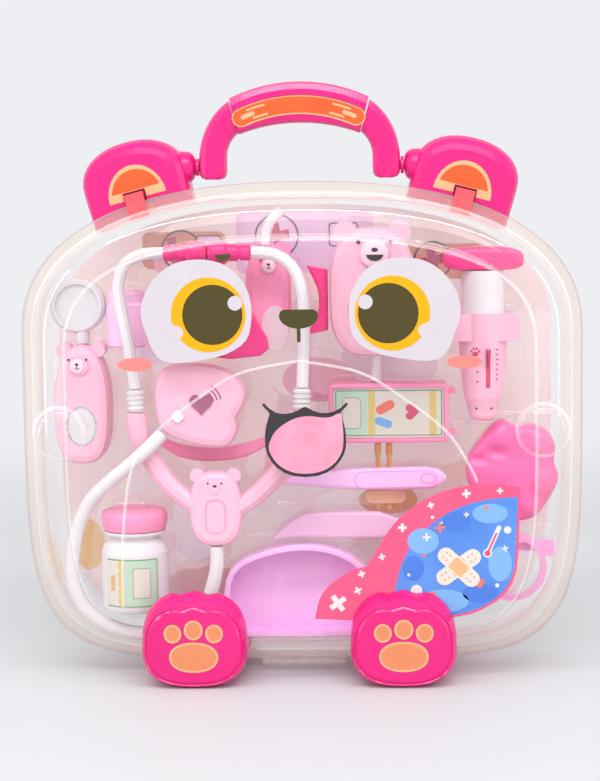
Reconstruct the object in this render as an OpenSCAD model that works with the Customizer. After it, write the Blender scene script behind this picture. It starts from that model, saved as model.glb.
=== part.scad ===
/* [Case] */
// Half width of the rim that joins the two clear shells
rim_half_w = 145.5; // [140:0.5:150]
// Height of the rim's widest line
rim_mid_z = 178; // [174:1:182]
// Height of the rim's arched top above its widest line
rim_up = 79; // [76:1:82]
// Depth of the rim's squarer bottom below its widest line
rim_down = 171; // [169:0.5:171.5]
// Width of the flat flange round each shell
flange_w = 6; // [5:0.5:7]
// Thickness of each flange
flange_t = 3; // [2.4:0.2:3.4]
// Plane on which the two flanges meet
seam_y = -8; // [-9:0.5:-7]
// Wall of the clear shells
wall = 1.8; // [1.4:0.1:2.2]
// Front plane of the raised face panel
panel_y = -37; // [-39:0.5:-35]
// Half width of the face panel
panel_half_w = 120.5; // [117:0.5:122]
// Back plane of the case
back_y = 44; // [42:0.5:46]
// Gap between pieces that are fitted together
fit = 0.3; // [0.2:0.05:0.4]

/* [Hinge and latches] */
// Height of the hinge line at the bottom of the seam
hinge_z = 4.5; // [4.3:0.1:4.8]
// Radius of the hinge knuckles
knuckle_r = 3.6; // [3.3:0.1:3.8]
// Radius of the hinge pin
pin_r = 1.6; // [1.3:0.1:1.9]
// Length of each knuckle
knuckle_l = 8.6; // [7:0.2:10]
// Width of a latch tab
tab_w = 10; // [8:0.5:11]
// Thickness of a latch tab
tab_t = 1.6; // [1.2:0.1:2]

/* [Ears] */
// Half width of an ear
ear_half_w = 27.6; // [26:0.2:29]
// Height of an ear above the rim
ear_h = 32.5; // [30:0.5:34]
// Depth of an ear
ear_d = 26; // [22:1:30]
// Lean of an ear, in degrees
ear_lean = 14.5; // [12:0.5:16]
// Radius of the boss that carries the handle
boss_r = 8.3; // [7.5:0.1:9]
// Height of the handle's pivot line
pivot_z = 265; // [264:0.5:268]
// Radius of the handle's pivot pins
pivot_r = 2.5; // [2:0.1:3]

/* [Handle] */
// Half distance between the outer faces of the legs
leg_out = 52.3; // [50:0.2:53]
// Width of a leg
leg_w = 14.3; // [12:0.1:15]
// Depth of a leg
leg_d = 14.5; // [13:0.5:16]
// Height of the top of the grip
grip_top_z = 308.4; // [304:0.2:312]
// Thickness of the grip at its middle
grip_h = 21; // [18:0.5:23]
// Depth of the grip
grip_d = 18; // [16:0.5:20]

/* [Feet] */
// Width of a paw foot
foot_w = 54.5; // [50:0.5:58]
// Height of a paw foot's front face
foot_h = 42.6; // [39:0.2:45]
// Distance from the middle of the case to the middle of a foot
foot_x = 53.4; // [48:0.2:58]
// Shift of all feet to the left
foot_shift = 1.7; // [0:0.1:2]
// Front plane of the feet
foot_y = -48; // [-50:0.5:-46]
// Depth of the notches between the toes
notch_d = 1.8; // [1.2:0.1:2.4]

/* [Tray and toys] */
// Front plane of the clear tray that carries the toys
tray_y = 8; // [7:0.5:9]
// Thickness of the tray sheet
tray_t = 1.2; // [0.8:0.1:1.6]
// Thickness of the printed labels
label_t = 0.4; // [0.3:0.05:0.6]
// Radius of the stethoscope's white tubes
tube_r = 3.2; // [2.6:0.1:3.4]
// Radius of the stethoscope's hose
hose_r = 3.6; // [3:0.1:4]
// Plane of the stethoscope's tubes
steth_y = -21; // [-22:0.5:-20]
// Radius of the syringe barrel at its top
barrel_r = 12.8; // [12:0.2:14]
// Radius of the medicine bottle
bottle_r = 17.5; // [16:0.5:18.5]

/* [Hidden] */
$fn = 48;

// Points round each shell
shell_n = 60;
// Seam half gap, so that the closed shells do not touch
seam_gap = 0.15;
// Running clearance of pins in their bores
run = 0.05;
// Rim and panel outlines: half width, middle height, rise, upper power, drop, lower power
rim = [rim_half_w, rim_mid_z, rim_up, 2.35, rim_down, 5.7];
panel = [panel_half_w, rim_mid_z - 8, rim_up - 20, 2.6, rim_down - 24, 5.7];
// Front and back faces of the two flanges
front_flange_y = seam_y - flange_t - 0.2;
back_flange_y = seam_y + flange_t;
// Height of the outer wall and of the flange at the bottom of the case
flange_z = rim_mid_z - rim_down;
wall_z = flange_z + flange_w;
// Back face of the toys that lie on the tray
toy_back = tray_y - fit;
// Height of the rim's arched top edge at distance x from the middle
function rim_top(x) = rim[1] + rim[2] * pow(1 - pow(x / rim[0], rim[3]), 1 / rim[3]);
// Middle of an ear's root, which stands on the arch of the rim
ear_cx = rim_half_w - 62.5;
ear_cz = rim_top(ear_cx) - 0.4;

// Shapes used by many pieces

function spow(v, p) = sign(v) * pow(abs(v), p);
function mix(a, b, s) = a * (1 - s) + b * s;
function unit(v) = v / norm(v);

// One point of a case outline, drawn in by inset, at turn t
function outline_pt(t, o, inset) =
  let (up = sin(t) >= 0, rise = (up ? o[2] : o[4]) - inset, p = up ? o[3] : o[5])
  [(o[0] - inset) * spow(cos(t), 2 / p), o[1] + rise * spow(sin(t), 2 / p)];

// A case outline between rim and panel: s is 0 at the rim and 1 at the panel
function case_outline(s, inset) =
  [for (i = [0:shell_n - 1]) let (t = 360 * i / shell_n)
    mix(outline_pt(t, rim, inset), outline_pt(t, panel, 0), s)];

// A flat outline set at depth y
function at_y(pts, y) = [for (q = pts) [q[0], y, q[1]]];

// An egg-shaped outline with its own powers above and below
function egg(cx, cz, a, b, up = 2, low = 2, n = 28) =
  [for (i = [0:n - 1]) let (t = 360 * i / n, e = 2 / (sin(t) >= 0 ? up : low))
    [cx + a * spow(cos(t), e), cz + b * spow(sin(t), e)]];

// A rectangle with round corners
function round_rect(x0, x1, z0, z1, r, k = 3) =
  [for (c = [[x1 - r, z1 - r, 0], [x0 + r, z1 - r, 90], [x0 + r, z0 + r, 180], [x1 - r, z0 + r, 270]],
        i = [0:k])
    let (t = c[2] + 90 * i / k) [c[0] + r * cos(t), c[1] + r * sin(t)]];

// A band that follows an arc about (0, cz), with round ends
function arc_band(cz, r, h, a, n = 10, k = 5) =
  concat(
    [for (i = [0:n]) let (t = 90 - a + 2 * a * i / n) [(r + h) * cos(t), cz + (r + h) * sin(t)]],
    [for (i = [1:k - 1]) let (t = 90 + a, u = t + 180 * i / k)
      [r * cos(t) + h * cos(u), cz + r * sin(t) + h * sin(u)]],
    [for (i = [0:n]) let (t = 90 + a - 2 * a * i / n) [(r - h) * cos(t), cz + (r - h) * sin(t)]],
    [for (i = [1:k - 1]) let (t = 90 - a, u = t + 180 + 180 * i / k)
      [r * cos(t) + h * cos(u), cz + r * sin(t) + h * sin(u)]]);

// An outline drawn in by d
function inset_ring(p, d) =
  let (n = len(p))
  [for (i = [0:n - 1]) let (t = unit(p[(i + 1) % n] - p[(i + n - 1) % n])) p[i] + d * [-t[1], t[0]]];

// A curve through hand-chosen points, m steps to each
function spline_pt(p, i, u) =
  let (n = len(p), a = p[max(i - 1, 0)], b = p[i], c = p[min(i + 1, n - 1)], d = p[min(i + 2, n - 1)])
  0.5 * (2 * b + (c - a) * u + (2 * a - 5 * b + 4 * c - d) * u * u + (3 * b - a - 3 * c + d) * u * u * u);
function curve(p, m) =
  [for (i = [0:len(p) - 2], j = [0:m - 1]) spline_pt(p, i, j / m), p[len(p) - 1]];

// Closed solid through a stack of rings
module loft(rings) {
  n = len(rings[0]);
  m = len(rings);
  sides = [for (j = [0:m - 2], i = [0:n - 1]) let (k = (i + 1) % n)
    [j * n + i, j * n + k, (j + 1) * n + k, (j + 1) * n + i]];
  first = [for (i = [n - 1:-1:0]) i];
  last = [for (i = [0:n - 1]) (m - 1) * n + i];
  polyhedron([for (r = rings) each r], concat(sides, [first, last]));
}

// Solid with the outline p between two planes, its front and back edges rounded
module pillow(p, y0, y1, r, back_r = 0, steps = 2) {
  front = [for (k = [0:steps]) let (b = 90 - 90 * k / steps)
    at_y(inset_ring(p, r * (1 - cos(b))), y0 + r * (1 - sin(b)))];
  back = back_r > 0
    ? [for (k = [0:steps]) let (b = 90 * k / steps)
        at_y(inset_ring(p, back_r * (1 - cos(b))), y1 - back_r * (1 - sin(b)))]
    : [at_y(p, y1)];
  loft(concat(front, back));
}

// Solid like a pillow whose outline has lobes: its faces rise a little to the point mid
module lobed(p, mid, y0, y1, r, back_r) {
  crown = 0.25;
  small = 0.08;
  loft(concat(
    [at_y([for (q = inset_ring(p, r)) mix(mid, q, small)], y0 - crown), at_y(inset_ring(p, r), y0)],
    [at_y(inset_ring(p, r * 0.3), y0 + r * 0.3), at_y(p, y0 + r), at_y(p, y1 - back_r)],
    [at_y(inset_ring(p, back_r), y1 - crown), at_y([for (q = p) mix(mid, q, small)], y1)]));
}

// Round tube along a curve, its radius going from r to end_r
module tube(route, r, end_r, sides = 10) {
  n = len(route);
  loft([for (i = [0:n - 1])
    let (
      dir = unit(route[min(i + 1, n - 1)] - route[max(i - 1, 0)]),
      e1 = unit(cross(dir, [0, 1, 0])),
      e2 = cross(e1, dir),
      here = mix(r, end_r, i / (n - 1))
    )
    [for (k = [0:sides - 1]) let (t = 360 * k / sides) route[i] + here * (cos(t) * e1 + sin(t) * e2)]]);
}

// Bar with rounded edges between two curves that run left to right, low and top
module ribbon(low, top, y0, y1, r, k = 2) {
  loft([for (i = [0:len(low) - 1]) let (e = unit(top[i] - low[i]), h = norm(top[i] - low[i]))
    [for (q = round_rect(0, h, y0, y1, min(r, h * 0.49), k))
      [low[i][0] + q[0] * e[0], q[1], low[i][1] + q[0] * e[1]]]]);
}

// Flat plate with the outline p between two planes
module plate(p, y0, y1) {
  translate([0, y1, 0]) rotate([90, 0, 0]) linear_extrude(y1 - y0) polygon(p);
}

// Round bar along Y
module rod_y(x, z, r, y0, y1) {
  translate([x, y1, z]) rotate([90, 0, 0]) cylinder(h = y1 - y0, r = r);
}

// Round bar along X
module rod_x(x0, x1, y, z, r) {
  translate([x0, y, z]) rotate([0, 90, 0]) cylinder(h = x1 - x0, r = r);
}

// Bar along X with the profile p in depth and height
module bar_x(p, x0, x1) {
  translate([x0, 0, 0]) rotate([90, 0, 90]) linear_extrude(x1 - x0) polygon(p);
}

module box_at(x, y, z) {
  translate([x[0], y[0], z[0]]) cube([x[1] - x[0], y[1] - y[0], z[1] - z[0]]);
}

module both_sides() {
  children();
  mirror([1, 0, 0]) children();
}

// Clear shells

// Rows of the front shell from the panel to the seam: depth, blend to the panel, inset
front_outer = [
  [panel_y, 1.2, flange_w], [panel_y + 0.5, 1.08, flange_w], [panel_y + 1.8, 1.02, flange_w],
  [panel_y + 5, 0.98, flange_w], [panel_y + 5.8, 0.9, flange_w], [panel_y + 6.2, 0.68, flange_w],
  [panel_y + 7.8, 0.42, flange_w], [panel_y + 11, 0.22, flange_w], [panel_y + 16, 0.08, flange_w],
  [front_flange_y - 1, 0, flange_w], [front_flange_y, 0, flange_w - 1], [front_flange_y, 0, 0],
  [seam_y - seam_gap, 0, 0]
];
// Lip that enters the back shell
lip_y = seam_y + 3;
lip_in = flange_w + wall + fit;
front_inner = [
  [seam_y - seam_gap, 0, lip_in], [lip_y, 0, lip_in], [lip_y, 0, lip_in + 1.5],
  [front_flange_y - 1, 0, lip_in + 1.5], [front_flange_y - 2.4, 0, flange_w + wall],
  [panel_y + 16.4, 0.08, flange_w + wall], [panel_y + 12.2, 0.22, flange_w + wall],
  [panel_y + 9.5, 0.42, flange_w + wall], [panel_y + 6.2 + wall, 0.68, flange_w + wall],
  [panel_y + 5.8 + wall, 0.92, flange_w + wall], [panel_y + 5 + wall, 1.06, flange_w + wall],
  [panel_y + 0.7 + wall, 1.11, flange_w + wall], [panel_y + wall, 1.2, flange_w + wall]
];
back_outer = [
  [seam_y + seam_gap, 0, 0], [back_flange_y, 0, 0], [back_flange_y, 0, flange_w - 1],
  [back_flange_y + 1, 0, flange_w], [back_y - 14, 0, flange_w + 1.5], [back_y - 6, 0, flange_w + 3.5],
  [back_y - 2.5, 0, flange_w + 8], [back_y - 0.5, 0, flange_w + 14], [back_y, 0, flange_w + 22]
];
back_inner = [
  [back_y - wall, 0, flange_w + 22], [back_y - 0.4 - wall, 0, flange_w + 15],
  [back_y - 2.2 - wall, 0, flange_w + 9.5], [back_y - 5.2 - wall, 0, flange_w + 3.4 + wall],
  [back_y - 14, 0, flange_w + 1.5 + wall], [back_flange_y + 1, 0, flange_w + wall],
  [seam_y + seam_gap, 0, flange_w + wall]
];

function shell_ring(row) = at_y(case_outline(row[1], row[2]), row[0]);
// Height of a shell row at the bottom of the case
function row_z(row) = mix(rim[1] - rim[4] + row[2], panel[1] - panel[4], row[1]);

// Knuckles along the hinge: first and last X of each
hinge_half = 2.5 * knuckle_l + 4 * 0.2 + 0.3;
knuckle_step = knuckle_l + 0.35;
back_knuckles = [-2, 0, 2];
front_knuckles = [-1, 1];

// Knuckles with the web that ties them to a flange, on the side given by dir
module knuckles(places, dir) {
  for (k = places) {
    x0 = k * knuckle_step - knuckle_l / 2;
    rod_x(x0, x0 + knuckle_l, seam_y, hinge_z, knuckle_r);
    web = dir > 0
      ? [seam_y + seam_gap, back_flange_y - 0.2]
      : [front_flange_y + 0.2, seam_y - seam_gap];
    box_at([x0, x0 + knuckle_l], web, [hinge_z, flange_z + 3]);
  }
}

// Room for the other shell's knuckles
module knuckle_room(places) {
  for (k = places) {
    x0 = k * knuckle_step - knuckle_l / 2 - 0.3;
    rod_x(x0, x0 + knuckle_l + 0.6, seam_y, hinge_z, knuckle_r + 0.5);
  }
}

module back_shell() {
  color([0.95, 0.96, 0.96, 0.3])
    difference() {
      union() {
        loft(back_bowl());
        knuckles(back_knuckles, 1);
      }
      knuckle_room(front_knuckles);
      rod_x(-hinge_half - 1, hinge_half + 1, seam_y, hinge_z, pin_r + run);
    }
}

// Rings of the back bowl: from the inner back wall to the seam, then outside to the back
function back_bowl() = [for (r = concat(back_inner, back_outer)) shell_ring(r)];
function front_bowl() = [for (r = concat(front_outer, front_inner)) shell_ring(r)];

// Ridge that frames the muzzle on the face panel
ridge_half = [[0, 166.5], [30, 160.5], [52, 147.5], [74, 130], [86, 112], [89.5, 104]];
ridge_tail = [[0, 166.5], [30, 160.5], [52, 147.5], [74, 130], [86, 112], [91, 80], [92, 40]];
module ridge(points) {
  mid = curve(points, 4);
  plate(concat(mid, [for (i = [len(mid) - 1:-1:0]) inset_open(mid, i, 1.6)]), panel_y - 0.7, panel_y + 0.6);
}
// Point of an open curve moved to its inner side
function inset_open(p, i, d) =
  let (t = unit(p[min(i + 1, len(p) - 1)] - p[max(i - 1, 0)])) p[i] + d * [t[1], -t[0]];

// Round boss at each side of the face
cheek_x = 123.3;
cheek_z = 130;
cheek_r = 14.2;
module cheek_boss() {
  translate([cheek_x, panel_y + 5.5, cheek_z]) rotate([90, 0, 0])
    rotate_extrude()
      polygon([[0, 6.6], [8, 6.1], [12, 4.4], [cheek_r, 1.5], [cheek_r, -2], [cheek_r - 1.5, -2],
        [cheek_r - 1.5, 1], [11, 3], [7.6, 4.6], [0, 5.1]]);
}

// Latch tab: stands on the lid's flange, with a nose that enters the ear's notch
tab_x = ear_cx + 1.5;
tab_z = ear_cz + 0.2;
module latch_tab() {
  translate([-tab_x, 0, tab_z]) rotate([0, -ear_lean, 0]) {
    box_at([-tab_w / 2, tab_w / 2], [front_flange_y, front_flange_y + tab_t], [-8, 5]);
    box_at([-tab_w / 2, tab_w / 2], [front_flange_y, front_flange_y + flange_t + 4.4], [2.4, 5]);
  }
}

module front_shell() {
  color([0.97, 0.97, 0.97, 0.3])
    difference() {
      union() {
        loft(front_bowl());
        knuckles(front_knuckles, -1);
        ridge(ridge_half);
        mirror([1, 0, 0]) ridge(ridge_tail);
        both_sides() cheek_boss();
        both_sides() latch_tab();
      }
      knuckle_room(back_knuckles);
      rod_x(-hinge_half - 1, hinge_half + 1, seam_y, hinge_z, pin_r + run);
    }
}

module hinge_pin() {
  color([0.85, 0.85, 0.85]) rod_x(-hinge_half + 0.4, hinge_half - 0.4, seam_y, hinge_z, pin_r);
}

// Card that stands against the back, and the tray in front of it
card_t = 0.6;
card_y = back_y - 5.2 - wall - 0.2;
module back_card() {
  color([0.97, 0.93, 0.9]) plate(case_outline(0, flange_w + wall + 4), card_y - card_t, card_y);
}

// Raised cups of the tray that carry the toys in front of it: X, Z, radius, depth of the top
cups = [
  [-51, 141, 9, -14.5], [-44.5, 88, 7, -16], [-85, 146, 5, steth_y + 4.7], [0.5, 146, 5, steth_y + 4.7],
  [-121, 50, 4.5, -14.6 + hose_r], [-99, 104.5, 4.5, -20.8 + hose_r], [4, 101, 3.5, -2], [62, 101, 3.5, -2],
  [-8, 73, 3.5, 0.5], [44, 75, 4, 0.5], [-46, 182, 5, -8.3]
];
module insert_tray() {
  color([0.95, 0.97, 1, 0.25])
    difference() {
      plate(case_outline(0, flange_w + wall + 0.6 + fit), tray_y, tray_y + tray_t);
      for (c = cups) rod_y(c[0], c[1], c[2] - tray_t, tray_y - 1, tray_y + tray_t + 1);
    }
}
module tray_cups() {
  color([0.95, 0.97, 1, 0.25])
    for (c = cups)
      difference() {
        rod_y(c[0], c[1], c[2], c[3] + fit, tray_y);
        rod_y(c[0], c[1], c[2] - tray_t, c[3] + fit + tray_t, tray_y + 1);
      }
}

// Ears

ear_y = seam_y + 2;
boss_y = ear_y + 12;
boss_end = leg_out + 2.2;

// Ear outline in its own leaning frame, drawn in by d, with its root below the rim
function ear_ring(d, y) =
  let (mid = 12, n = 20)
  [for (p = concat(
      [for (i = [0:n]) let (t = 180 * i / n)
        [(ear_half_w - d) * spow(cos(t), 2 / 2.2), mid + (ear_h - mid - d) * spow(sin(t), 2 / 2.2)]],
      [[-ear_half_w + 0.3 + d, 0.5], [-ear_half_w + 0.9 + d, -14], [ear_half_w - 0.9 - d, -14],
        [ear_half_w - 0.3 - d, 0.5]]))
    [p[0], y, p[1]]];

// Ear label outline, drawn in by d
function half_disc(d) =
  let (r = 15.2, n = 16)
  concat([for (i = [0:n]) let (t = 180 * i / n) [(r - d) * cos(t), 2.6 + d + (17.4 - 2 * d) * sin(t)]]);

module lean() {
  translate([-ear_cx, 0, ear_cz]) rotate([0, -ear_lean, 0]) children();
}

notch_half = tab_w / 2 + 0.8;
catch_w = 6.5;
module ear() {
  difference() {
    union() {
      lean() loft([
        ear_ring(7.4, ear_y), ear_ring(4.4, ear_y + 0.7), ear_ring(1.8, ear_y + 2.6),
        ear_ring(0.4, ear_y + 5.6), ear_ring(0, ear_y + 8), ear_ring(0, ear_y + ear_d - 4),
        ear_ring(1.2, ear_y + ear_d - 1.2), ear_ring(4, ear_y + ear_d)]);
      translate([-ear_cx + 8, boss_y, pivot_z]) rotate([0, 90, 0]) rotate_extrude()
        polygon(concat([[0, 0], [boss_r, 0]],
          [for (i = [0:6]) let (t = 15 * i)
            [boss_r - 5 + 5 * cos(t), ear_cx - 8 - boss_end - 5 + 5 * sin(t)]],
          [[0, ear_cx - 8 - boss_end]]));
    }
    // The ear sits over the rim and behind the flange
    plate(case_outline(0, -fit), seam_y - 4, back_flange_y + fit);
    plate(case_outline(0, flange_w - fit), back_flange_y, ear_y + ear_d + 1);
    plate(case_outline(0, flange_w - 1 - fit), back_flange_y - 1, back_flange_y + 1 + fit);
    lean() plate(half_disc(-0.15), ear_y - 1, ear_y + label_t);
    translate([-tab_x, 0, tab_z]) rotate([0, -ear_lean, 0])
      box_at([-notch_half, notch_half], [ear_y - 1, ear_y + 4.5], [-9, 6]);
    lean() box_at([-catch_w - 0.1, catch_w + 0.1], [back_flange_y - 1, back_flange_y + 5.6], [-12, -0.9]);
    rod_x(-ear_cx + 12, -boss_end + 1, boss_y, pivot_z, pivot_r + run);
  }
}
module ear_left() {
  color([1, 0.24, 0.6]) ear();
}
module ear_right() {
  color([1, 0.24, 0.6]) mirror([1, 0, 0]) ear();
}

module ear_labels() {
  color([1, 0.45, 0.25]) both_sides()
    difference() {
      lean() plate(half_disc(0), ear_y - 0.1, ear_y + label_t);
      translate([-tab_x, 0, tab_z]) rotate([0, -ear_lean, 0])
        box_at([-notch_half - 0.2, notch_half + 0.2], [ear_y - 1, ear_y + 4.5], [-9, 6.2]);
    }
}

// Lighter block behind the flange that the latch tab snaps over
module latch_catches() {
  color([0.94, 0.45, 0.45]) both_sides()
    difference() {
      lean() box_at([-catch_w, catch_w], [back_flange_y + fit, back_flange_y + 5.5], [-9.5, -1]);
      plate(case_outline(0, flange_w - 1 - fit), back_flange_y, ear_y + ear_d + 1);
    }
}

// Handle

module handle_pivots() {
  color([1, 0.24, 0.6]) both_sides() {
    rod_x(-ear_cx + 12.3, -leg_out + leg_w - 4, boss_y, pivot_z, pivot_r);
    rod_x(-boss_end + 0.3, -leg_out - 0.3, boss_y, pivot_z, pivot_r + 2);
  }
}

leg_in = leg_out - leg_w;
// Radii and half angles of the grip's upper and lower edges
grip_top_r = 84;
grip_low_r = 90;
grip_low_a = 20.5;
grip_half_a = 25.5;
grip_cz = grip_top_z - grip_top_r;
grip_low_cz = grip_top_z - grip_h - grip_low_r;
// Where a leg's inner and outer edges end, just off the grip's lower and upper corners
leg_end_in = [grip_low_r * sin(grip_low_a) + 0.48, grip_low_cz + grip_low_r * cos(grip_low_a) + 0.75];
leg_end_out = [grip_top_r * sin(grip_half_a) + 0.67, grip_cz + grip_top_r * cos(grip_half_a) - 1.49];
leg_toe = 6.6;
// Rows of a leg's round toe: height above its end and how far its edges are drawn in
toe_rows = [[0, 3.2], [0.8, 1.4], [2.4, 0.3], [4.6, 0]];
leg_n = 10;
// One edge of the left leg from its toe to the grip: x, height of the bend, its end and its last angle
function leg_edge(x, z, end, last, side) =
  let (bend_x = (end[0] + x * cos(last)) / (1 + cos(last)), rise = (end[1] - z) / sin(last))
  concat(
    [for (q = toe_rows) [-x + side * q[1], pivot_z - leg_toe + q[0]]],
    [for (i = [0:leg_n]) let (t = 180 - (180 - last) * i / leg_n)
      [-bend_x + (x - bend_x) * cos(t), z + rise * sin(t)]]);

module handle_legs() {
  color([1, 0.24, 0.6]) both_sides()
    difference() {
      ribbon(leg_edge(leg_in, pivot_z + 5, leg_end_in, 131.8, -1),
        leg_edge(leg_out, pivot_z + 3, leg_end_out, 121.4, 1),
        boss_y - leg_d / 2, boss_y + leg_d / 2, 3.5);
      rod_x(-leg_out - 1, -leg_in - 3, boss_y, pivot_z, pivot_r + run);
    }
}

grip_n = 12;
function arc_pts(cz, r, a) =
  [for (i = [0:grip_n]) let (t = 90 + a - 2 * a * i / grip_n) [r * cos(t), cz + r * sin(t)]];
// Arc on which the label lies
label_r = 72;
label_a = 24.5;
label_half = 4.9;

module handle_grip() {
  color([1, 0.24, 0.6])
    difference() {
      ribbon(arc_pts(grip_low_cz, grip_low_r, grip_low_a),
        arc_pts(grip_cz, grip_top_r, grip_half_a), boss_y - grip_d / 2, boss_y + grip_d / 2, 4);
      plate(arc_band(grip_cz, label_r, label_half + 0.15, label_a), boss_y - grip_d, boss_y - grip_d / 2 + 1);
    }
}

module handle_label() {
  color([1, 0.42, 0.22])
    plate(arc_band(grip_cz, label_r, label_half, label_a), boss_y - grip_d / 2 + 0.5,
      boss_y - grip_d / 2 + 1);
}

// Feet

foot_mid = 20;
foot_n = 36;
// Notch between two toes at distance x from the middle of the foot
function notch(x) = let (u = abs(abs(x) - 7) / 5) u < 1 ? notch_d * (1 + cos(180 * u)) / 2 : 0;
// Ring of a foot at depth y, drawn in by d, its top raised by lift
function foot_ring(y, d, lift) =
  [for (i = [0:foot_n - 1])
    let (t = 360 * i / foot_n, x = (foot_w / 2 - d) * spow(cos(t), 2 / 2.6))
    sin(t) >= 0
      ? [x, y, foot_mid + (foot_h - foot_mid + 3.2 + lift - d) * spow(sin(t), 2 / 2.7) - notch(x)]
      : [x, y, max(0, foot_mid - (foot_mid + 0.6 - d) * spow(-sin(t), 2 / 2.5))]];

module front_foot(x) {
  difference() {
    translate([x, 0, 0]) loft([
      foot_ring(foot_y, 4.3, 0), foot_ring(foot_y + 0.7, 3.3, 0), foot_ring(foot_y + 0.9, 2.9, 0),
      foot_ring(foot_y + 0.4, 2.3, -0.6), foot_ring(foot_y + 1.6, 1.6, -0.3), foot_ring(foot_y + 4, 0.6, 0.8),
      foot_ring(foot_y + 7, 0.1, 2.2), foot_ring(foot_y + 11, 0, 3.6), foot_ring(seam_y - seam_gap, 0, 5)]);
    // Room for the lid
    bar_x(concat([for (r = front_outer) [r[0] - fit - label_t, row_z(r) - fit]],
      [[0, flange_z - fit], [0, 100], [panel_y - fit - label_t, 100]]), x - foot_w, x + foot_w);
    translate([x, 0, foot_mid - 3]) children();
  }
}

// Paw print: three toes and a pad, drawn in by d
toes = [[-10.6, 11.7, 4.6, 4.9], [0, 13.6, 4.9, 5.2], [10.6, 11.7, 4.6, 4.9]];
module paw_print(y0, y1, d) {
  plate(egg(0, -0.5, 12.6 - d, 7.9 - d, 2.2, 2.2, 40), y0, y1);
  for (t = toes) plate(egg(t[0], t[1], t[2] - d, t[3] - d, 2, 2, 24), y0, y1);
}
paw_recess = 0.6;
module foot_front_left() {
  color([1, 0.24, 0.6]) front_foot(-foot_x - foot_shift) paw_print(foot_y - 1, foot_y + paw_recess, -0.15);
}
module foot_front_right() {
  color([1, 0.24, 0.6]) front_foot(foot_x - foot_shift) paw_print(foot_y - 1, foot_y + paw_recess, -0.15);
}
module paw_labels() {
  color([1, 0.72, 0.5])
    for (x = [-foot_x - foot_shift, foot_x - foot_shift])
      translate([x, 0, foot_mid - 3]) paw_print(foot_y + paw_recess - label_t, foot_y + paw_recess, 0);
}

// The rear feet start behind the hinge line, so that the lid's feet can swing past them
rear_foot_y = seam_y + 6.2;
module rear_foot(x) {
  end_y = -foot_y;
  difference() {
    translate([x, 0, 0]) loft([
      foot_ring(rear_foot_y, 0, 5), foot_ring(end_y - 11, 0, 3.6), foot_ring(end_y - 6, 0.2, 2),
      foot_ring(end_y - 2, 1.4, 0.6), foot_ring(end_y, 4.3, 0)]);
    bar_x(concat([[rear_foot_y - 9, 100], [rear_foot_y - 9, wall_z - fit]],
      [for (r = back_outer) if (r[0] > rear_foot_y - 5) [r[0] + fit, row_z(r) - fit]],
      [[back_y + fit, 100]]), x - foot_w, x + foot_w);
  }
}
module foot_rear_left() {
  color([1, 0.24, 0.6]) rear_foot(-foot_x - foot_shift);
}
module foot_rear_right() {
  color([1, 0.24, 0.6]) rear_foot(foot_x - foot_shift);
}

// Labels on the face panel

module face_plate(p) {
  plate(p, panel_y - label_t, panel_y);
}
// Middle of the iris, and the white's outline about it
eye_x = 45.6;
eye_z = 190.2;
eye_white = [
  [34, -1], [33, 8], [28, 17.5], [18, 25.5], [5, 28], [-7, 25.8], [-16, 19], [-21, 9], [-21.8, -2],
  [-19, -13], [-9, -19.8], [6, -23.2], [20, -24], [27, -20], [31, -11]
];
// The right eye sits a little further out
eye_shift = 1.7;
function eye_outline() = [for (q = curve_loop(eye_white, 3)) [eye_x + q[0], eye_z + q[1]]];
module eye_label_left() {
  color("white") mirror([1, 0, 0]) face_plate(eye_outline());
}
module eye_label_right() {
  color("white") translate([eye_shift, 0, 0]) face_plate(eye_outline());
}
module nose_label() {
  color([0.3, 0.28, 0.16]) {
    face_plate(concat([for (i = [0:16]) let (t = 180 + 180 * i / 16) [9.9 * cos(t), 189.4 + 6.6 * sin(t)]],
      [[9.2, 191.6], [7.4, 192.5], [-7.4, 192.5], [-9.2, 191.6]]));
    box_at([-0.9, 0.9], [panel_y - label_t, panel_y], [176, 184]);
  }
}
// Mouth: a cat-like upper edge with a tip at each side, and a deep round chin
mouth_x = 2.7;
mouth_z = 143;
lip_edge = [
  [19.9, 0.6], [14.5, -2.4], [9, -3.1], [4, -1.8], [0, 0.2], [-4, -1.8], [-9, -3.3], [-14.5, -2.8], [-19.9, 0]
];
chin_edge = [
  [-18, -3.4], [-19.9, -10], [-20.5, -17], [-19.4, -24], [-14.5, -31], [-6, -35.2], [6, -35.2], [14.5, -31],
  [19.6, -24], [20.7, -17], [20, -10], [18, -3]
];
function mouth_outline() =
  [for (q = concat(curve(lip_edge, 2), curve(chin_edge, 2))) [mouth_x + q[0], mouth_z + q[1]]];
module mouth_label() {
  color([0.35, 0.25, 0.28]) face_plate(mouth_outline());
}
module cheek_labels() {
  color([1, 0.55, 0.45]) both_sides() face_plate(egg(83.2, 165.3, 8.8, 3.5));
}
// Corner label: a quarter disc with a small round lobe, cut to the panel's corner
corner_edge = [[111, 101.3], [96, 103], [83, 102], [69, 98.2], [55, 90.3], [45, 80], [38, 69], [33.4, 61.2]];
corner_lobe = [[25, 59], [14.5, 51.8], [9, 44], [6.5, 34]];
corner_side = [[50, 32], [78, 34.6], [92, 38.5], [104, 47], [109.2, 58], [110.6, 74]];
module corner_label() {
  color([1, 0.41, 0.59])
    face_plate(concat(curve(corner_edge, 3), curve(corner_lobe, 3), curve(corner_side, 2)));
}

// Stethoscope

yoke_x = -44.5;
yoke_z = 89;
yoke_d = 10;
yoke_front = steth_y - yoke_d / 2;
sleeve_z = 139;
// Radii of the arms at their tops and at the yoke
arm_top_r = 5.6;
arm_low_r = 4.8;
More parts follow.
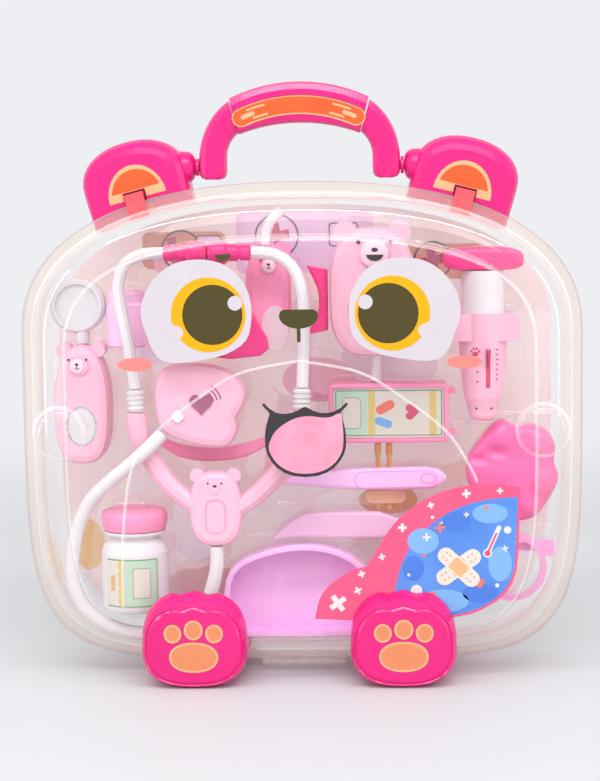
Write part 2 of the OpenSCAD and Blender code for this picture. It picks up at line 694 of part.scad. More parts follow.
// The left arm dips back behind the hose of the chest piece
left_arm = [
  [-84.9, steth_y, sleeve_z], [-84.9, -20.8, 136], [-84.3, -18.6, 128], [-81.5, -16.4, 119.6], [-76.2, -16.8, 110.4],
  [-69.6, -18.6, 101.9], [-62.2, -20.4, 95.4], [-53, steth_y, 88.5]
];
right_arm = lifted([
  [0.5, sleeve_z], [-0.8, 127], [-5, 117], [-11.4, 108], [-20.6, 98.3], [-29.5, 91.4], [-37, 87]
], steth_y);
function lifted(p, y) = [for (q = p) [q[0], y, q[1]]];

module steth_yoke() {
  color([1, 0.55, 0.75])
    difference() {
      union() {
        pillow(egg(yoke_x, yoke_z, 13.6, 19.5, 2.6, 2.6), yoke_front, steth_y + yoke_d / 2, 3, 1.5);
        for (s = [-1, 1]) rod_y(yoke_x + s * 9.5, yoke_z + 17.5, 3.7, steth_y - 3, steth_y + 3);
        rod_y(yoke_x, yoke_z + 11, 2.6, yoke_front - 0.5, yoke_front + 2);
        tube(curve(left_arm, 2), arm_top_r, arm_low_r);
        tube(curve(right_arm, 2), arm_top_r, arm_low_r);
      }
      // Groove round the belly
      difference() {
        plate(egg(yoke_x, yoke_z - 4, 5.6, 9, 3.4, 3.4), yoke_front - 1, yoke_front + 0.6);
        plate(egg(yoke_x, yoke_z - 4, 4.7, 8.1, 3.4, 3.4), yoke_front - 2, yoke_front + 1);
      }
    }
}

// Ribbed collars between the arms and the white tubes
collar_l = 11.2;
collar_z = sleeve_z + 0.8;
module collar(x, tilt) {
  translate([x, steth_y, collar_z]) rotate([0, tilt, 0]) rotate_extrude()
    polygon(concat([[0, 0], [3.6, 0]],
      [for (k = [0:3]) let (z = 2.6 * k) each [[3.6, z + 0.9], [4.6, z + 1.4], [4.6, z + 2.4], [3.6, z + 2.9]]],
      [[3.6, collar_l], [0, collar_l]]));
}
module steth_sleeves() {
  color("white") {
    collar(-84.9, -3);
    collar(0.5, 1.5);
  }
}

tube_z = collar_z + collar_l + 0.6;
left_tube = [
  [-85.3, tube_z], [-88, 172], [-92.5, 196], [-93, 206], [-89, 216], [-80, 220.6], [-69.5, 221]
];
right_tube = [
  [0.9, tube_z], [1.8, 172], [2, 191], [0.5, 204], [-4, 214], [-13, 220], [-24.5, 221]
];
module steth_headset_left() {
  color("white") tube(curve(lifted(left_tube, steth_y), 2), tube_r, tube_r);
}
module steth_headset_right() {
  color("white") tube(curve(lifted(right_tube, steth_y), 2), tube_r, tube_r);
}
tip_l = 21.5;
module tip(x, turn) {
  translate([x, steth_y, 221]) rotate([0, turn, 0]) rotate_extrude()
    polygon(concat([[0, 0], [4.2, 0], [4.2, 5], [3.6, 6], [3.8, 8]],
      [for (i = [0:6]) let (t = -40 + 125 * i / 6) [6 * cos(t) + 0.2, tip_l - 7.5 + 6.5 * sin(t)]],
      [[0, tip_l - 1]]));
}
module steth_tips() {
  color([1, 0.24, 0.6]) {
    tip(-69.2, 90);
    tip(-24.8, -90);
  }
}
tube_low_z = 44;
module steth_tube() {
  route = [[yoke_x, yoke_z - 20], [-44.6, 59], [-46.2, 51], [-48.3, tube_low_z]];
  color([1, 0.96, 0.97]) tube(curve(lifted(route, steth_y), 2), hose_r, hose_r);
}
hose_route = [
  [-72.6, -20.2, 127], [-76.5, -23.4, 123.3], [-80.5, -25.6, 119.6], [-85, -25.7, 115.6], [-92, -24, 109.6],
  [-99, -21.8, 104], [-111, -18, 92], [-118.5, -15.6, 75], [-121.2, -14.6, 55], [-118, -14.4, 40],
  [-109, -14.5, 29.8], [-97, -15, 24], [-84, -15, 21.8], [-68, -16.5, 22.4], [-56, -18.6, 27], [-50, -20.6, 35],
  [-48.6, -21, 43.5]
];
module steth_hose() {
  color("white") tube(curve(hose_route, 2), hose_r, hose_r, 8);
}

chest_x = -51;
chest_z = 141;
// Outline of the chest piece, like a paw with lobes at its right
chest_edge = [
  [-73.5, 133], [-67.4, 126.7], [-56.1, 122.8], [-47.4, 121.2], [-38.1, 121.4], [-33.9, 126], [-32.3, 131],
  [-33, 136], [-30.1, 141], [-28.2, 147.1], [-29.9, 153.9], [-35.4, 159.6], [-44.1, 163.2], [-53.3, 164.1],
  [-62.6, 164.2], [-70.8, 161.9], [-74.6, 155.3], [-75.8, 146]
];
module chest_piece() {
  color([1, 0.7, 0.83])
    lobed(curve_loop(chest_edge, 2), [chest_x, chest_z + 2], steth_y - 4, steth_y + 6.3, 4, 2);
}
function heart(cx, cz, s) =
  [for (i = [0:27]) let (t = 360 * i / 28)
    [cx + s * 16 * pow(sin(t), 3) * -1, cz + s * (13 * cos(t) - 5 * cos(2 * t) - 2 * cos(3 * t) - cos(4 * t))]];
module chest_heart() {
  color([1, 0.5, 0.7]) plate(heart(chest_x, chest_z + 3, 0.38), steth_y - 5, steth_y - 4.25);
}

// Syringe

syr_x = 94.5;
syr_y = toy_back - barrel_r;
barrel_low = 144;
barrel_top = 188;
module turned(x, y, z, p) {
  translate([x, y, z]) rotate_extrude() polygon(p);
}
// Bores of the barrel: a wide one for the rod above a narrow one for the piston
piston_r = 8.5;
rod_r = 11;
rod_bore_z = 168;
module syringe_barrel() {
  color([1, 0.75, 0.86])
    difference() {
      union() {
        turned(syr_x, syr_y, barrel_low, [
          [0, -11.6], [5, -11.6], [6.6, -10.8], [7.3, -9], [7.5, -6.6], [8.4, -3.6], [9.7, 0], [10.5, 6],
          [11.8, 19], [barrel_r - 0.3, 26], [barrel_r, barrel_top - barrel_low], [0, barrel_top - barrel_low]
        ]);
        plate(round_rect(syr_x - 18.5, syr_x + 18.5, barrel_top - 14, barrel_top, 4),
          syr_y - barrel_r + 2, syr_y + barrel_r - 2);
      }
      turned(syr_x, syr_y, barrel_low + 4, [[0, 0], [piston_r + run, 0], [piston_r + run, 30], [0, 30]]);
      turned(syr_x, syr_y, rod_bore_z, [[0, 0], [rod_r + run, 0], [rod_r + run, 30], [0, 30]]);
      translate([syr_x, syr_y, barrel_low - 13]) cylinder(h = 20, r = 1.6);
    }
}
module syringe_plunger() {
  color([0.98, 0.88, 0.93])
    turned(syr_x, syr_y, barrel_low + 22, [
      [0, 0], [piston_r - 1, 0], [piston_r, 1], [piston_r, 19.6], [rod_r, 20.4], [rod_r, 44], [0, 44]
    ]);
}
cap_z = barrel_low + 66.2;
cap_h = 12;
module syringe_cap() {
  color([1, 0.24, 0.6])
    pillow(egg(syr_x, cap_z + cap_h / 2, 20.6, cap_h / 2, 3, 4), syr_y - 11, syr_y + 11, 2.6, 2.6);
}

// Medicine bottle

bottle_x = -88.5;
bottle_y = toy_back - bottle_r;
bottle_low = 34;
module bottle_body() {
  r = bottle_r;
  color([0.98, 0.98, 0.97])
    turned(bottle_x, bottle_y, bottle_low, [
      [0, 0], [r - 2.5, 0], [r - 0.7, 0.8], [r, 2.6], [r, 31], [r - 1, 34.5], [r - 4, 37.4], [12, 38.8],
      [12, 39.8], [15.6, 40.4], [16.2, 41.2], [16.2, 42.2], [12, 42.2], [12, 49.5], [9.6, 49.5], [9.6, 37],
      [r - 5, 34], [r - 2, 30], [r - 2, 4], [r - 4, 2], [0, 2]
    ]);
}
bottle_cap_z = bottle_low + 42.5;
module bottle_cap() {
  color([1, 0.3, 0.6])
    turned(bottle_x, bottle_y, bottle_cap_z, [
      [0, 10.8], [14.5, 10.8], [16.6, 9.8], [17.4, 7.6], [17.2, 4], [16.4, 0.8], [15.8, 0], [12.3, 0],
      [12.3, 7.6], [0, 7.6]
    ]);
}
module bottle_label() {
  r = bottle_r;
  color([0.85, 0.95, 0.85])
    intersection() {
      translate([bottle_x, bottle_y, bottle_low + 3.6]) difference() {
        cylinder(h = 26, r = r + 0.3);
        translate([0, 0, -1]) cylinder(h = 28, r = r + 0.02);
      }
      box_at([bottle_x - 13.5, bottle_x + 13.5], [bottle_y - r - 2, bottle_y], [bottle_low, bottle_low + 40]);
    }
}

// Teddy toys: a rounded body with two ears and a muzzle
module teddy(cx, z0, z1, half_w, ear_r, y0, face_z, up = 2.6) {
  mid = (z0 + z1) / 2;
  pillow(egg(cx, mid, half_w, (z1 - z0) / 2, up, 3), y0, toy_back, 4, 1);
  for (s = [-1, 1]) rod_y(cx + s * half_w * 0.62, z1 - 2.6, ear_r, y0 + 3, toy_back - 4);
  rod_y(cx, face_z, half_w * 0.3, y0 - 1.2, y0 + 2);
}
module mirror_bear() {
  color([0.98, 0.66, 0.78])
    difference() {
      teddy(-115.2, 111, 173.4, 14.6, 3.8, -12, 162.5, 2.2);
      plate(egg(-115, 131, 8.1, 10.6), -14, -11);
    }
}
module mirror_disc() {
  color("white") {
    translate([-117.5, toy_back, 193.5]) rotate([90, 0, 0]) rotate_extrude()
      polygon([[0, 0], [13, 0], [14.5, 1.5], [14.5, 9], [13, 10.5], [11.5, 10.5], [11, 9], [0, 9]]);
    rod_stem();
  }
}
// Stem of the disc, which ends just above the bear's head
module rod_stem() {
  translate([-115.5, 1.5, 173.7]) cylinder(h = 8.6, r = 3.8);
}
module bulb_bear() {
  color([1, 0.45, 0.68]) teddy(-17, 173, 224, 11.8, 4.6, -8, 213.5);
}
module gauge_bear() {
  color([1, 0.47, 0.68])
    difference() {
      teddy(37.4, 166, 233, 22.6, 6, -11, 219.4);
      plate(egg(37.4, 190, 13, 13), -14, -9.6);
    }
}
bulb_hose = [[-18.4, 0, 224.4], [-17.9, 0, 230.5], [-15.7, 0, 236], [-12.2, 0, 240], [-9.6, 0, 242.6]];
module gauge_hose() {
  color("white") {
    translate([38.5, 0, 152.5]) cylinder(h = 13.2, r = 3);
    tube(curve(bulb_hose, 2), 2.8, 2.8, 8);
  }
}
// Folded cuff, which narrows at its middle
module cuff_band() {
  color([1, 0.24, 0.6])
    ribbon(curve([[14, 179.5], [14, 188], [14, 194], [14, 201], [14, 211]], 2),
      curve([[2.5, 177.2], [8.2, 187.4], [9.4, 194], [8.4, 202], [3, 213.2]], 2), -4, toy_back, 2);
}
hammer_edge = [
  [-58, 168], [-36, 165.6], [-21, 167.2], [-16.6, 170.6], [-17.4, 176.4], [-24, 188], [-31, 197], [-58, 200]
];
module hammer() {
  color([1, 0.2, 0.5]) pillow(hammer_edge, -14, -8.3, 1.6, 1);
}
module torch() {
  color([0.86, 0.78, 0.92])
    turned(-91, toy_back - 10.6, 171.8, [
      [0, 0], [9.4, 0], [10.6, 1.2], [10.6, 22], [9.4, 23.4], [9.4, 28], [8, 30], [0, 30]
    ]);
}

// Flat pieces

frame_x = [14, 76.5];
frame_z = [121, 152];
module chart_frame() {
  color([0.98, 0.62, 0.76])
    difference() {
      union() {
        pillow(round_rect(frame_x[0], frame_x[1], frame_z[0], frame_z[1], 3), -10, toy_back, 1.2);
        box_at([frame_x[1] - 2, frame_x[1] + 3.6], [-6, 0], [frame_z[1] - 6, frame_z[1] - 3.5]);
        box_at([frame_x[1] - 2, frame_x[1] + 3.6], [-6, 0], [frame_z[0] + 3.5, frame_z[0] + 6]);
      }
      box_at([frame_x[0] + 2.3, frame_x[1] - 2.3], [-11, -8.5], [frame_z[0] + 2.3, frame_z[1] - 2.3]);
    }
}
module chart_card() {
  color([0.9, 0.95, 0.85])
    box_at([frame_x[0] + 2.6, frame_x[1] - 2.6], [-8.5 - label_t, -8.5], [frame_z[0] + 2.6, frame_z[1] - 2.6]);
}
scalpel_low = [
  [-9, 100.3], [-4, 98.4], [12, 97], [25, 96], [45, 95.6], [64, 95.8], [71, 97.2], [75, 100.6]
];
scalpel_top = [
  [-9, 101.7], [-4, 103.6], [12, 105.4], [25, 107], [45, 107.4], [64, 107.8], [71, 106.6], [75, 103.2]
];
module scalpel() {
  color([0.98, 0.7, 0.92])
    difference() {
      ribbon(scalpel_low, scalpel_top, -8, -2, 2.2);
      // Groove round the thumb rest
      difference() {
        plate(egg(66, 101.7, 4.6, 3.5), -9, -7.5);
        plate(egg(66, 101.7, 3.7, 2.6), -10, -7);
      }
    }
}
tweezer_low = [
  [-15.4, 68.9], [-10.5, 69.8], [-5, 70.3], [1.6, 70.5], [9, 70.2], [22, 69.8], [40, 69.6], [50, 71.5]
];
tweezer_top = [
  [-15.8, 70.8], [-11.6, 75], [-5.8, 79.3], [1, 82.6], [9, 83.9], [22, 83.9], [40, 83.6], [50, 80]
];
module tweezers() {
  color([0.98, 0.7, 0.92]) ribbon(tweezer_low, tweezer_top, -5, 0.5, 1.4);
}
// Half-round dish with a hollow that faces forward
dish_rim = [
  [39.5, 18], [41, 34], [37, 49], [26, 60.5], [12.7, 66], [-0.4, 67.3], [-13.6, 65.9], [-26.8, 62], [-36.1, 56.7],
  [-41.2, 48], [-42.2, 34], [-40.5, 18]
];
dish_y = -9;
module dish() {
  outer = concat(curve(dish_rim, 2), [[0, 17.4]]);
  color([0.94, 0.55, 0.92])
    difference() {
      pillow(outer, dish_y, toy_back, 1.2, 5);
      plate(inset_ring(outer, 3), dish_y - 1, toy_back - 2);
    }
}
module crescent_dish() {
  color([1, 0.5, 0.72])
    ribbon(curve([[-79, 121.5], [-66, 112.5], [-48, 110], [-30, 112.5], [-18, 119]], 2),
      curve([[-77, 124.5], [-66, 119.5], [-48, 117], [-30, 119.5], [-19, 123]], 2), 2, toy_back, 1.5);
}
mask_edge = [
  [86.6, 99], [91.8, 89.5], [100.7, 81.4], [111.1, 77.7], [121.5, 80], [127.6, 87], [131.6, 94], [134.2, 101.3],
  [131.8, 109.4], [132.4, 118], [127.6, 126], [119, 128.6], [112, 127.6], [105.4, 131.4], [98.6, 128],
  [93.4, 121.4], [88.2, 114], [86, 107]
];
module mask() {
  color([1, 0.35, 0.65]) lobed(curve_loop(mask_edge, 2), [110, 104], -6, toy_back, 3, 1);
}
// Closed curve through hand-chosen points
function curve_loop(p, m) =
  let (n = len(p))
  [for (i = [0:n - 1], j = [0:m - 1])
    let (u = j / m, a = p[(i + n - 1) % n], b = p[i], c = p[(i + 1) % n], d = p[(i + 2) % n])
    0.5 * (2 * b + (c - a) * u + (2 * a - 5 * b + 4 * c - d) * u * u + (3 * b - a - 3 * c + d) * u * u * u)];

// Glasses, folded, behind the corner label
lens_x = [66, 110];
lens_z = 53;
lens_r = 18;
module glasses_frame() {
  color([1, 0.24, 0.6])
    difference() {
      union() {
        for (x = lens_x) rod_y(x, lens_z, lens_r, 0.2, 4.2);
        box_at([lens_x[0] + 10, lens_x[1] - 10], [0.2, 4.2], [lens_z + 4, lens_z + 9]);
        box_at([lens_x[1] + 12, lens_x[1] + 22], [0.2, 4.2], [lens_z + 6, lens_z + 14]);
        box_at([lens_x[0] - 22, lens_x[0] - 12], [0.2, 4.2], [lens_z + 6, lens_z + 14]);
      }
      for (x = lens_x) rod_y(x, lens_z, lens_r - 3, -1, 6);
    }
}
module glasses_temples() {
  color([1, 0.24, 0.6]) {
    box_at([lens_x[1] - 46, lens_x[1] + 22], [4.5, toy_back], [lens_z + 8, lens_z + 12]);
    box_at([lens_x[0] - 21, lens_x[0] + 34], [4.5, toy_back], [lens_z - 2, lens_z + 2]);
  }
}
module swabs() {
  color([0.98, 0.85, 0.5])
    for (x = [39.5, 45.5])
      turned(x, toy_back - 1.8, 84, [
        [0, 0], [1.2, 0], [1.2, 28], [1.8, 29.5], [1.8, 34], [1, 35.5], [0, 35.8]
      ]);
}
module plaster() {
  color([0.98, 0.75, 0.6]) pillow(round_rect(33, 54, 87, 94, 3.2), 2.4, toy_back - 3.9, 0.5);
}

back_shell();
front_shell();
hinge_pin();
back_card();
insert_tray();
tray_cups();
ear_left();
ear_right();
ear_labels();
latch_catches();
handle_pivots();
handle_legs();
handle_grip();
handle_label();
foot_front_left();
foot_front_right();
foot_rear_left();
foot_rear_right();
paw_labels();
eye_label_left();
eye_label_right();
nose_label();
mouth_label();
cheek_labels();
corner_label();
steth_yoke();
steth_sleeves();
steth_headset_left();
steth_headset_right();
steth_tips();
steth_tube();
steth_hose();
chest_piece();
chest_heart();
syringe_barrel();
syringe_plunger();
syringe_cap();
bottle_body();
bottle_cap();
bottle_label();
gauge_bear();
gauge_hose();
cuff_band();
mirror_bear();
mirror_disc();
bulb_bear();
hammer();
torch();
chart_frame();
chart_card();
scalpel();
tweezers();
dish();
crescent_dish();
mask();
glasses_frame();
glasses_temples();
swabs();
plaster();
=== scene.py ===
"""Looks of the toy doctor case: clear shells, prints, plastics, light and camera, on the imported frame."""

import math

import bmesh
import bpy
from mathutils import Matrix, Vector


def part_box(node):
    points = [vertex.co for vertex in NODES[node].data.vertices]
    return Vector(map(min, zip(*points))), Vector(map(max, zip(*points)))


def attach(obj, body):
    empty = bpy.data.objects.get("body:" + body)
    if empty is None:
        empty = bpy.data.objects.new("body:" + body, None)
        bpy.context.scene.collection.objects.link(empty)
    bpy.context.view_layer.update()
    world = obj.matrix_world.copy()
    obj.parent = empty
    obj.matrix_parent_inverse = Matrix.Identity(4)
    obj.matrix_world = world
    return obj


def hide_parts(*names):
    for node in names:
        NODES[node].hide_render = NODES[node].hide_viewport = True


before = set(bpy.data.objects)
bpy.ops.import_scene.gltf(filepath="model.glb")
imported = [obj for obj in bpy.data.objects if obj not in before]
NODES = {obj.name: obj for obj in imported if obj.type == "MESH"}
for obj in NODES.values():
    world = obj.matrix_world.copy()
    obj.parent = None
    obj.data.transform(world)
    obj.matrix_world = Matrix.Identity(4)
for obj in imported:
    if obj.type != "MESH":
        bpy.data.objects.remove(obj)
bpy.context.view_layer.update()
MM = 0.001


# Sizes that the shells share with the CAD, in millimetres

# Outlines of rim and panel: half width, middle's height, rise and power above it, drop and power below it
RIM = (145.5, 178.0, 79.0, 2.35, 171.0, 5.7)
PANEL = (120.5, 170.0, 59.0, 2.6, 147.0, 5.7)
FLANGE_W = 6.0
FLANGE_T = 3.0
SEAM_Y = -8.0
SEAM_GAP = 0.15
WALL = 1.8
PANEL_Y = -37.0
BACK_Y = 44.0
FIT = 0.3
HINGE_Z = 4.5
KNUCKLE_R = 3.6
KNUCKLE_L = 8.6
KNUCKLE_STEP = KNUCKLE_L + 0.35
PIN_R = 1.65
TRAY_Y = 8.0
TRAY_T = 1.2
LABEL_T = 0.4
EAR_LEAN = math.radians(14.5)
EAR_CX = 83.0
EAR_CZ = 246.8
EAR_Y = -6.0
STETH_Y = -21.0
FRONT_FLANGE_Y = SEAM_Y - FLANGE_T - 0.2
BACK_FLANGE_Y = SEAM_Y + FLANGE_T
LIP_Y = SEAM_Y + 3
LIP_IN = FLANGE_W + WALL + FIT
# Points round each smooth shell
SHELL_N = 256
# Thickness of one printed layer
INK = 0.05


# Colours, as they look in daylight

def rgb(r, g, b):
    """A screen colour as linear light."""
    return tuple(c / 255 / 12.92 if c <= 10 else ((c / 255 + 0.055) / 1.055) ** 2.4 for c in (r, g, b))


# Curves and outlines

def signed_power(v, p):
    return math.copysign(abs(v) ** p, v)


def outline_point(t, o, inset):
    """One point of a case outline, drawn in by inset, at turn t."""
    up = math.sin(t) >= 0
    rise = (o[2] if up else o[4]) - inset
    p = 2 / (o[3] if up else o[5])
    return ((o[0] - inset) * signed_power(math.cos(t), p), o[1] + rise * signed_power(math.sin(t), p))


def even_turns(n):
    """Turns that space points of the rim about evenly, so that the corners are as smooth as the sides."""
    fine = 4096
    pts = [outline_point(math.tau * i / fine, RIM, 0) for i in range(fine + 1)]
    run = [0.0]
    for a, b in zip(pts, pts[1:]):
        run.append(run[-1] + math.dist(a, b))
    turns, k = [], 0
    for i in range(n):
        goal = run[-1] * i / n
        while run[k + 1] < goal:
            k += 1
        u = (goal - run[k]) / (run[k + 1] - run[k])
        turns.append(math.tau * (k + u) / fine)
    return turns


TURNS = even_turns(SHELL_N)


def case_outline(s, inset):
    """A case outline between rim and panel: s is 0 at the rim and 1 at the panel."""
    out = []
    for t in TURNS:
        a = outline_point(t, RIM, inset)
        b = outline_point(t, PANEL, 0)
        out.append((a[0] + s * (b[0] - a[0]), a[1] + s * (b[1] - a[1])))
    return out


def between(p, q, r, s, u):
    """The value at share u from q to r, on the smooth curve through four values."""
    square, cube = 2 * p - 5 * q + 4 * r - s, 3 * q - p - 3 * r + s
    return 0.5 * (2 * q + (r - p) * u + square * u * u + cube * u ** 3)


def spline(points, steps, closed=False):
    """A smooth curve through the points."""
    n = len(points)
    out = []
    for i in range(n if closed else n - 1):
        near = [points[(i + k) % n if closed else min(max(i + k, 0), n - 1)] for k in (-1, 0, 1, 2)]
        for j in range(steps):
            out.append(tuple(between(*four, j / steps) for four in zip(*near)))
    if not closed:
        out.append(tuple(points[-1]))
    return out


def circle(n):
    """Turns of n points round a circle."""
    return [math.tau * i / n for i in range(n)]


def sweep(start, end, n):
    """Turns from start to end, in degrees, in n steps."""
    return [math.radians(start + (end - start) * i / n) for i in range(n + 1)]


def turned_flat(points, cx, cz, angle):
    """Points turned by angle about the origin and moved from there to (cx, cz)."""
    c, s = math.cos(angle), math.sin(angle)
    return [(cx + x * c - z * s, cz + x * s + z * c) for x, z in points]


def ellipse(cx, cz, a, b=None, n=48, power=2.0):
    """An oval with half sizes a and b; a higher power makes it squarer."""
    b = a if b is None else b
    p = 2 / power
    return [(cx + a * signed_power(math.cos(t), p), cz + b * signed_power(math.sin(t), p)) for t in circle(n)]


def round_rect(x0, x1, z0, z1, r, k=6):
    """A rectangle with corners of radius r."""
    out = []
    corners = ((x1 - r, z1 - r), (x0 + r, z1 - r), (x0 + r, z0 + r), (x1 - r, z0 + r))
    for quarter, (cx, cz) in enumerate(corners):
        turns = sweep(90 * quarter, 90 * quarter + 90, k)
        out += [(cx + r * math.cos(t), cz + r * math.sin(t)) for t in turns]
    return out


def cross_at(cx, cz, half, arm, turn):
    """A plus sign with arms of half-width arm."""
    quarter = [(arm, arm), (arm, half), (-arm, half)]
    out = []
    for _ in range(4):
        out += quarter
        quarter = [(-z, x) for x, z in quarter]
    return turned_flat(out, cx, cz, turn)


def sparkle(cx, cz, half, turn):
    """A four-pointed star with hollow sides."""
    radii = [(half * (0.28 + (1 - 0.28) * abs(math.cos(2 * t)) ** 3), t) for t in circle(24)]
    return turned_flat([(r * math.cos(t), r * math.sin(t)) for r, t in radii], cx, cz, turn)


def heart(cx, cz, s, turn):
    pts = []
    for t in circle(40):
        z = 13 * math.cos(t) - 5 * math.cos(2 * t) - 2 * math.cos(3 * t) - math.cos(4 * t)
        pts.append((-s * 16 * math.sin(t) ** 3, s * z))
    return turned_flat(pts, cx, cz, turn)


def stroke(points, half):
    """A line of half-width half along the points, with round ends."""
    left, right = [], []
    n = len(points)
    for i, p in enumerate(points):
        a, b = points[max(i - 1, 0)], points[min(i + 1, n - 1)]
        length = math.dist(a, b)
        dx, dz = (b[0] - a[0]) / length, (b[1] - a[1]) / length
        left.append((p[0] - dz * half, p[1] + dx * half))
        right.append((p[0] + dz * half, p[1] - dx * half))

    def cap(p, q):
        cx, cz = (p[0] + q[0]) / 2, (p[1] + q[1]) / 2
        turns = [math.atan2(p[1] - cz, p[0] - cx) - math.pi * k / 6 for k in range(1, 6)]
        return [(cx + half * math.cos(t), cz + half * math.sin(t)) for t in turns]

    return left + cap(left[-1], right[-1]) + right[::-1] + cap(right[0], left[0])


def leaned(points, side):
    """Points of an ear's leaning frame in the case's frame; side is -1 for the left ear, 1 for the right."""
    c, s = math.cos(EAR_LEAN), math.sin(EAR_LEAN)
    return [(side * (EAR_CX - (x * c - z * s)), EAR_CZ + x * s + z * c) for x, z in points]


# Materials

def node(tree, kind, inputs=None, **settings):
    """Adds a node; inputs holds values, or the sockets that feed them."""
    new = tree.nodes.new("ShaderNode" + kind)
    for key, value in settings.items():
        setattr(new, key, value)
    for key, value in (inputs or {}).items():
        if isinstance(value, bpy.types.NodeSocket):
            tree.links.new(value, new.inputs[key])
        else:
            new.inputs[key].default_value = value
    return new.outputs


def empty_tree(owner):
    """The node tree of a material or the world, emptied."""
    owner.use_nodes = True
    owner.node_tree.nodes.clear()
    return owner.node_tree


def new_material(name):
    """A material, its tree and the place on the piece that its noises follow."""
    mat = bpy.data.materials.new(name)
    tree = empty_tree(mat)
    return mat, tree, node(tree, "TexCoord")["Object"]


def finished(mat, surface):
    node(mat.node_tree, "OutputMaterial", {"Surface": surface})
    return mat


def mixed(amount, a, b):
    return node(a.id_data, "MixShader", {"Fac": amount, 1: a, 2: b})["Shader"]


def noise(coords, scale, detail=2.0):
    values = {"Scale": scale, "Detail": detail, "Roughness": 0.5, "Vector": coords}
    return node(coords.id_data, "TexNoise", values)["Fac"]


def remap(value, low, high):
    """Stretches the middle of a noise over low to high."""
    values = {"From Min": 0.3, "From Max": 0.7, "To Min": low, "To Max": high, "Value": value}
    return node(value.id_data, "MapRange", values)["Result"]


def bump(height, strength, distance):
    values = {"Strength": strength, "Distance": distance, "Height": height}
    return node(height.id_data, "Bump", values)["Normal"]


def ramp(value, stops):
    """A colour that runs through stops of (place, colour)."""
    tree = value.id_data
    new = tree.nodes.new("ShaderNodeValToRGB")
    elements = new.color_ramp.elements
    for element, (place, colour) in zip(elements, (stops[0], stops[-1])):
        element.position = place
        element.color = (*colour, 1)
    for place, colour in stops[1:-1]:
        elements.new(place).color = (*colour, 1)
    tree.links.new(value, new.inputs["Fac"])
    return new.outputs["Color"]


def two_tone(value, a, b):
    return ramp(value, [(0.35, a), (0.65, b)])


def shade(colour, k):
    return tuple(min(1.0, max(0.0, c * k)) for c in colour)


def plastic(name, colour, rough=0.3, coat=0.12, grain=0.12, vary=0.05):
    """Moulded plastic: faint flow marks in the colour, a fine grain and small changes of gloss."""
    mat, tree, coords = new_material(name)
    dark, light = shade(rgb(*colour), 1 - vary), shade(rgb(*colour), 1 + vary * 0.6)
    surface = node(tree, "BsdfPrincipled", {
        "Base Color": two_tone(noise(coords, 34, 3), dark, light),
        "Roughness": remap(noise(coords, 120), rough - 0.05, rough + 0.07),
        "Normal": bump(noise(coords, 1500), grain, 0.0002),
        "Coat Weight": coat, "Coat Roughness": 0.08, "Specular IOR Level": 0.3})
    return finished(mat, surface["BSDF"])


def print_film(name, colour, second=None, scale=60, *, level):
    """Printed film: an even ink with a faint grain, under a glossy coat that isn't quite flat."""
    mat, tree, coords = new_material(name)
    first, other = shade(rgb(*colour), level), shade(rgb(*(second or colour)), level - 0.02)
    surface = node(tree, "BsdfPrincipled", {
        "Base Color": two_tone(noise(coords, scale, 3), other, first),
        "Roughness": 0.22, "Specular IOR Level": 0.25, "Coat Weight": 0.08, "Coat Roughness": 0.06,
        "Normal": bump(noise(coords, 90), 0.12, 0.0004)})
    return finished(mat, surface["BSDF"])


def clear_plastic(name, tint, veil, edge, body=(1.0, 0.985, 0.985), wave=0.25, gloss=1.0, power=3.5):
    """Clear polished plastic: it lets the light through, with gloss that grows at grazing angles."""
    mat, tree, coords = new_material(name)
    through = node(tree, "BsdfTransparent", {"Color": (*tint, 1)})
    normal = bump(noise(coords, 26, 1.5), wave, 0.0006)
    skin = node(tree, "BsdfPrincipled", {
        "Base Color": two_tone(noise(coords, 22), shade(body, 0.97), body),
        "Roughness": remap(noise(coords, 70), 0.02, 0.06), "Normal": normal, "Metallic": gloss})
    facing = node(tree, "LayerWeight", {"Blend": 0.5, "Normal": normal})["Facing"]
    grazing = node(tree, "Math", {0: facing, 1: power}, operation="POWER")["Value"]
    amount = node(tree, "MapRange", {"To Min": veil, "To Max": edge, "Value": grazing})["Result"]
    return finished(mat, mixed(amount, through["BSDF"], skin["BSDF"]))


CARD_STOPS = [
    (0.0, (255, 248, 246)), (0.28, (255, 236, 232)), (0.45, (252, 226, 230)), (0.6, (255, 236, 220)),
    (0.75, (240, 228, 234)), (0.88, (255, 218, 216)), (1.0, (255, 252, 248))]


def blurred_print(name):
    """The half clear sheet at the back: soft pale blocks, as prints look through clear sheets."""
    mat, tree, coords = new_material(name)
    shift = node(tree, "TexNoise", {"Scale": 16, "Vector": coords})["Color"]
    small = node(tree, "VectorMath", {0: shift, "Scale": 0.03}, operation="SCALE")["Vector"]
    bent = node(tree, "VectorMath", {0: coords, 1: (1, 0, 1), 2: small}, operation="MULTIPLY_ADD")["Vector"]
    blocks = {"Vector": bent, "Scale": 30, "Smoothness": 0.35}
    cells = node(tree, "TexVoronoi", blocks, feature="SMOOTH_F1")
    pick = node(tree, "SeparateColor", {"Color": cells["Color"]})[0]
    sheet = node(tree, "BsdfPrincipled", {
        "Base Color": ramp(pick, [(place, rgb(*colour)) for place, colour in CARD_STOPS]),
        "Roughness": 0.6, "Normal": bump(noise(coords, 900), 0.1, 0.0003)})
    through = node(tree, "BsdfTransparent", {"Color": (1, 0.97, 0.97, 1)})
    return finished(mat, mixed(0.5, through["BSDF"], sheet["BSDF"]))


def brushed_metal(name, colour):
    mat, tree, coords = new_material(name)
    surface = node(tree, "BsdfPrincipled", {
        "Metallic": 1.0, "Base Color": two_tone(noise(coords, 300), shade(colour, 0.9), colour),
        "Roughness": remap(noise(coords, 900), 0.22, 0.38)})
    return finished(mat, surface["BSDF"])


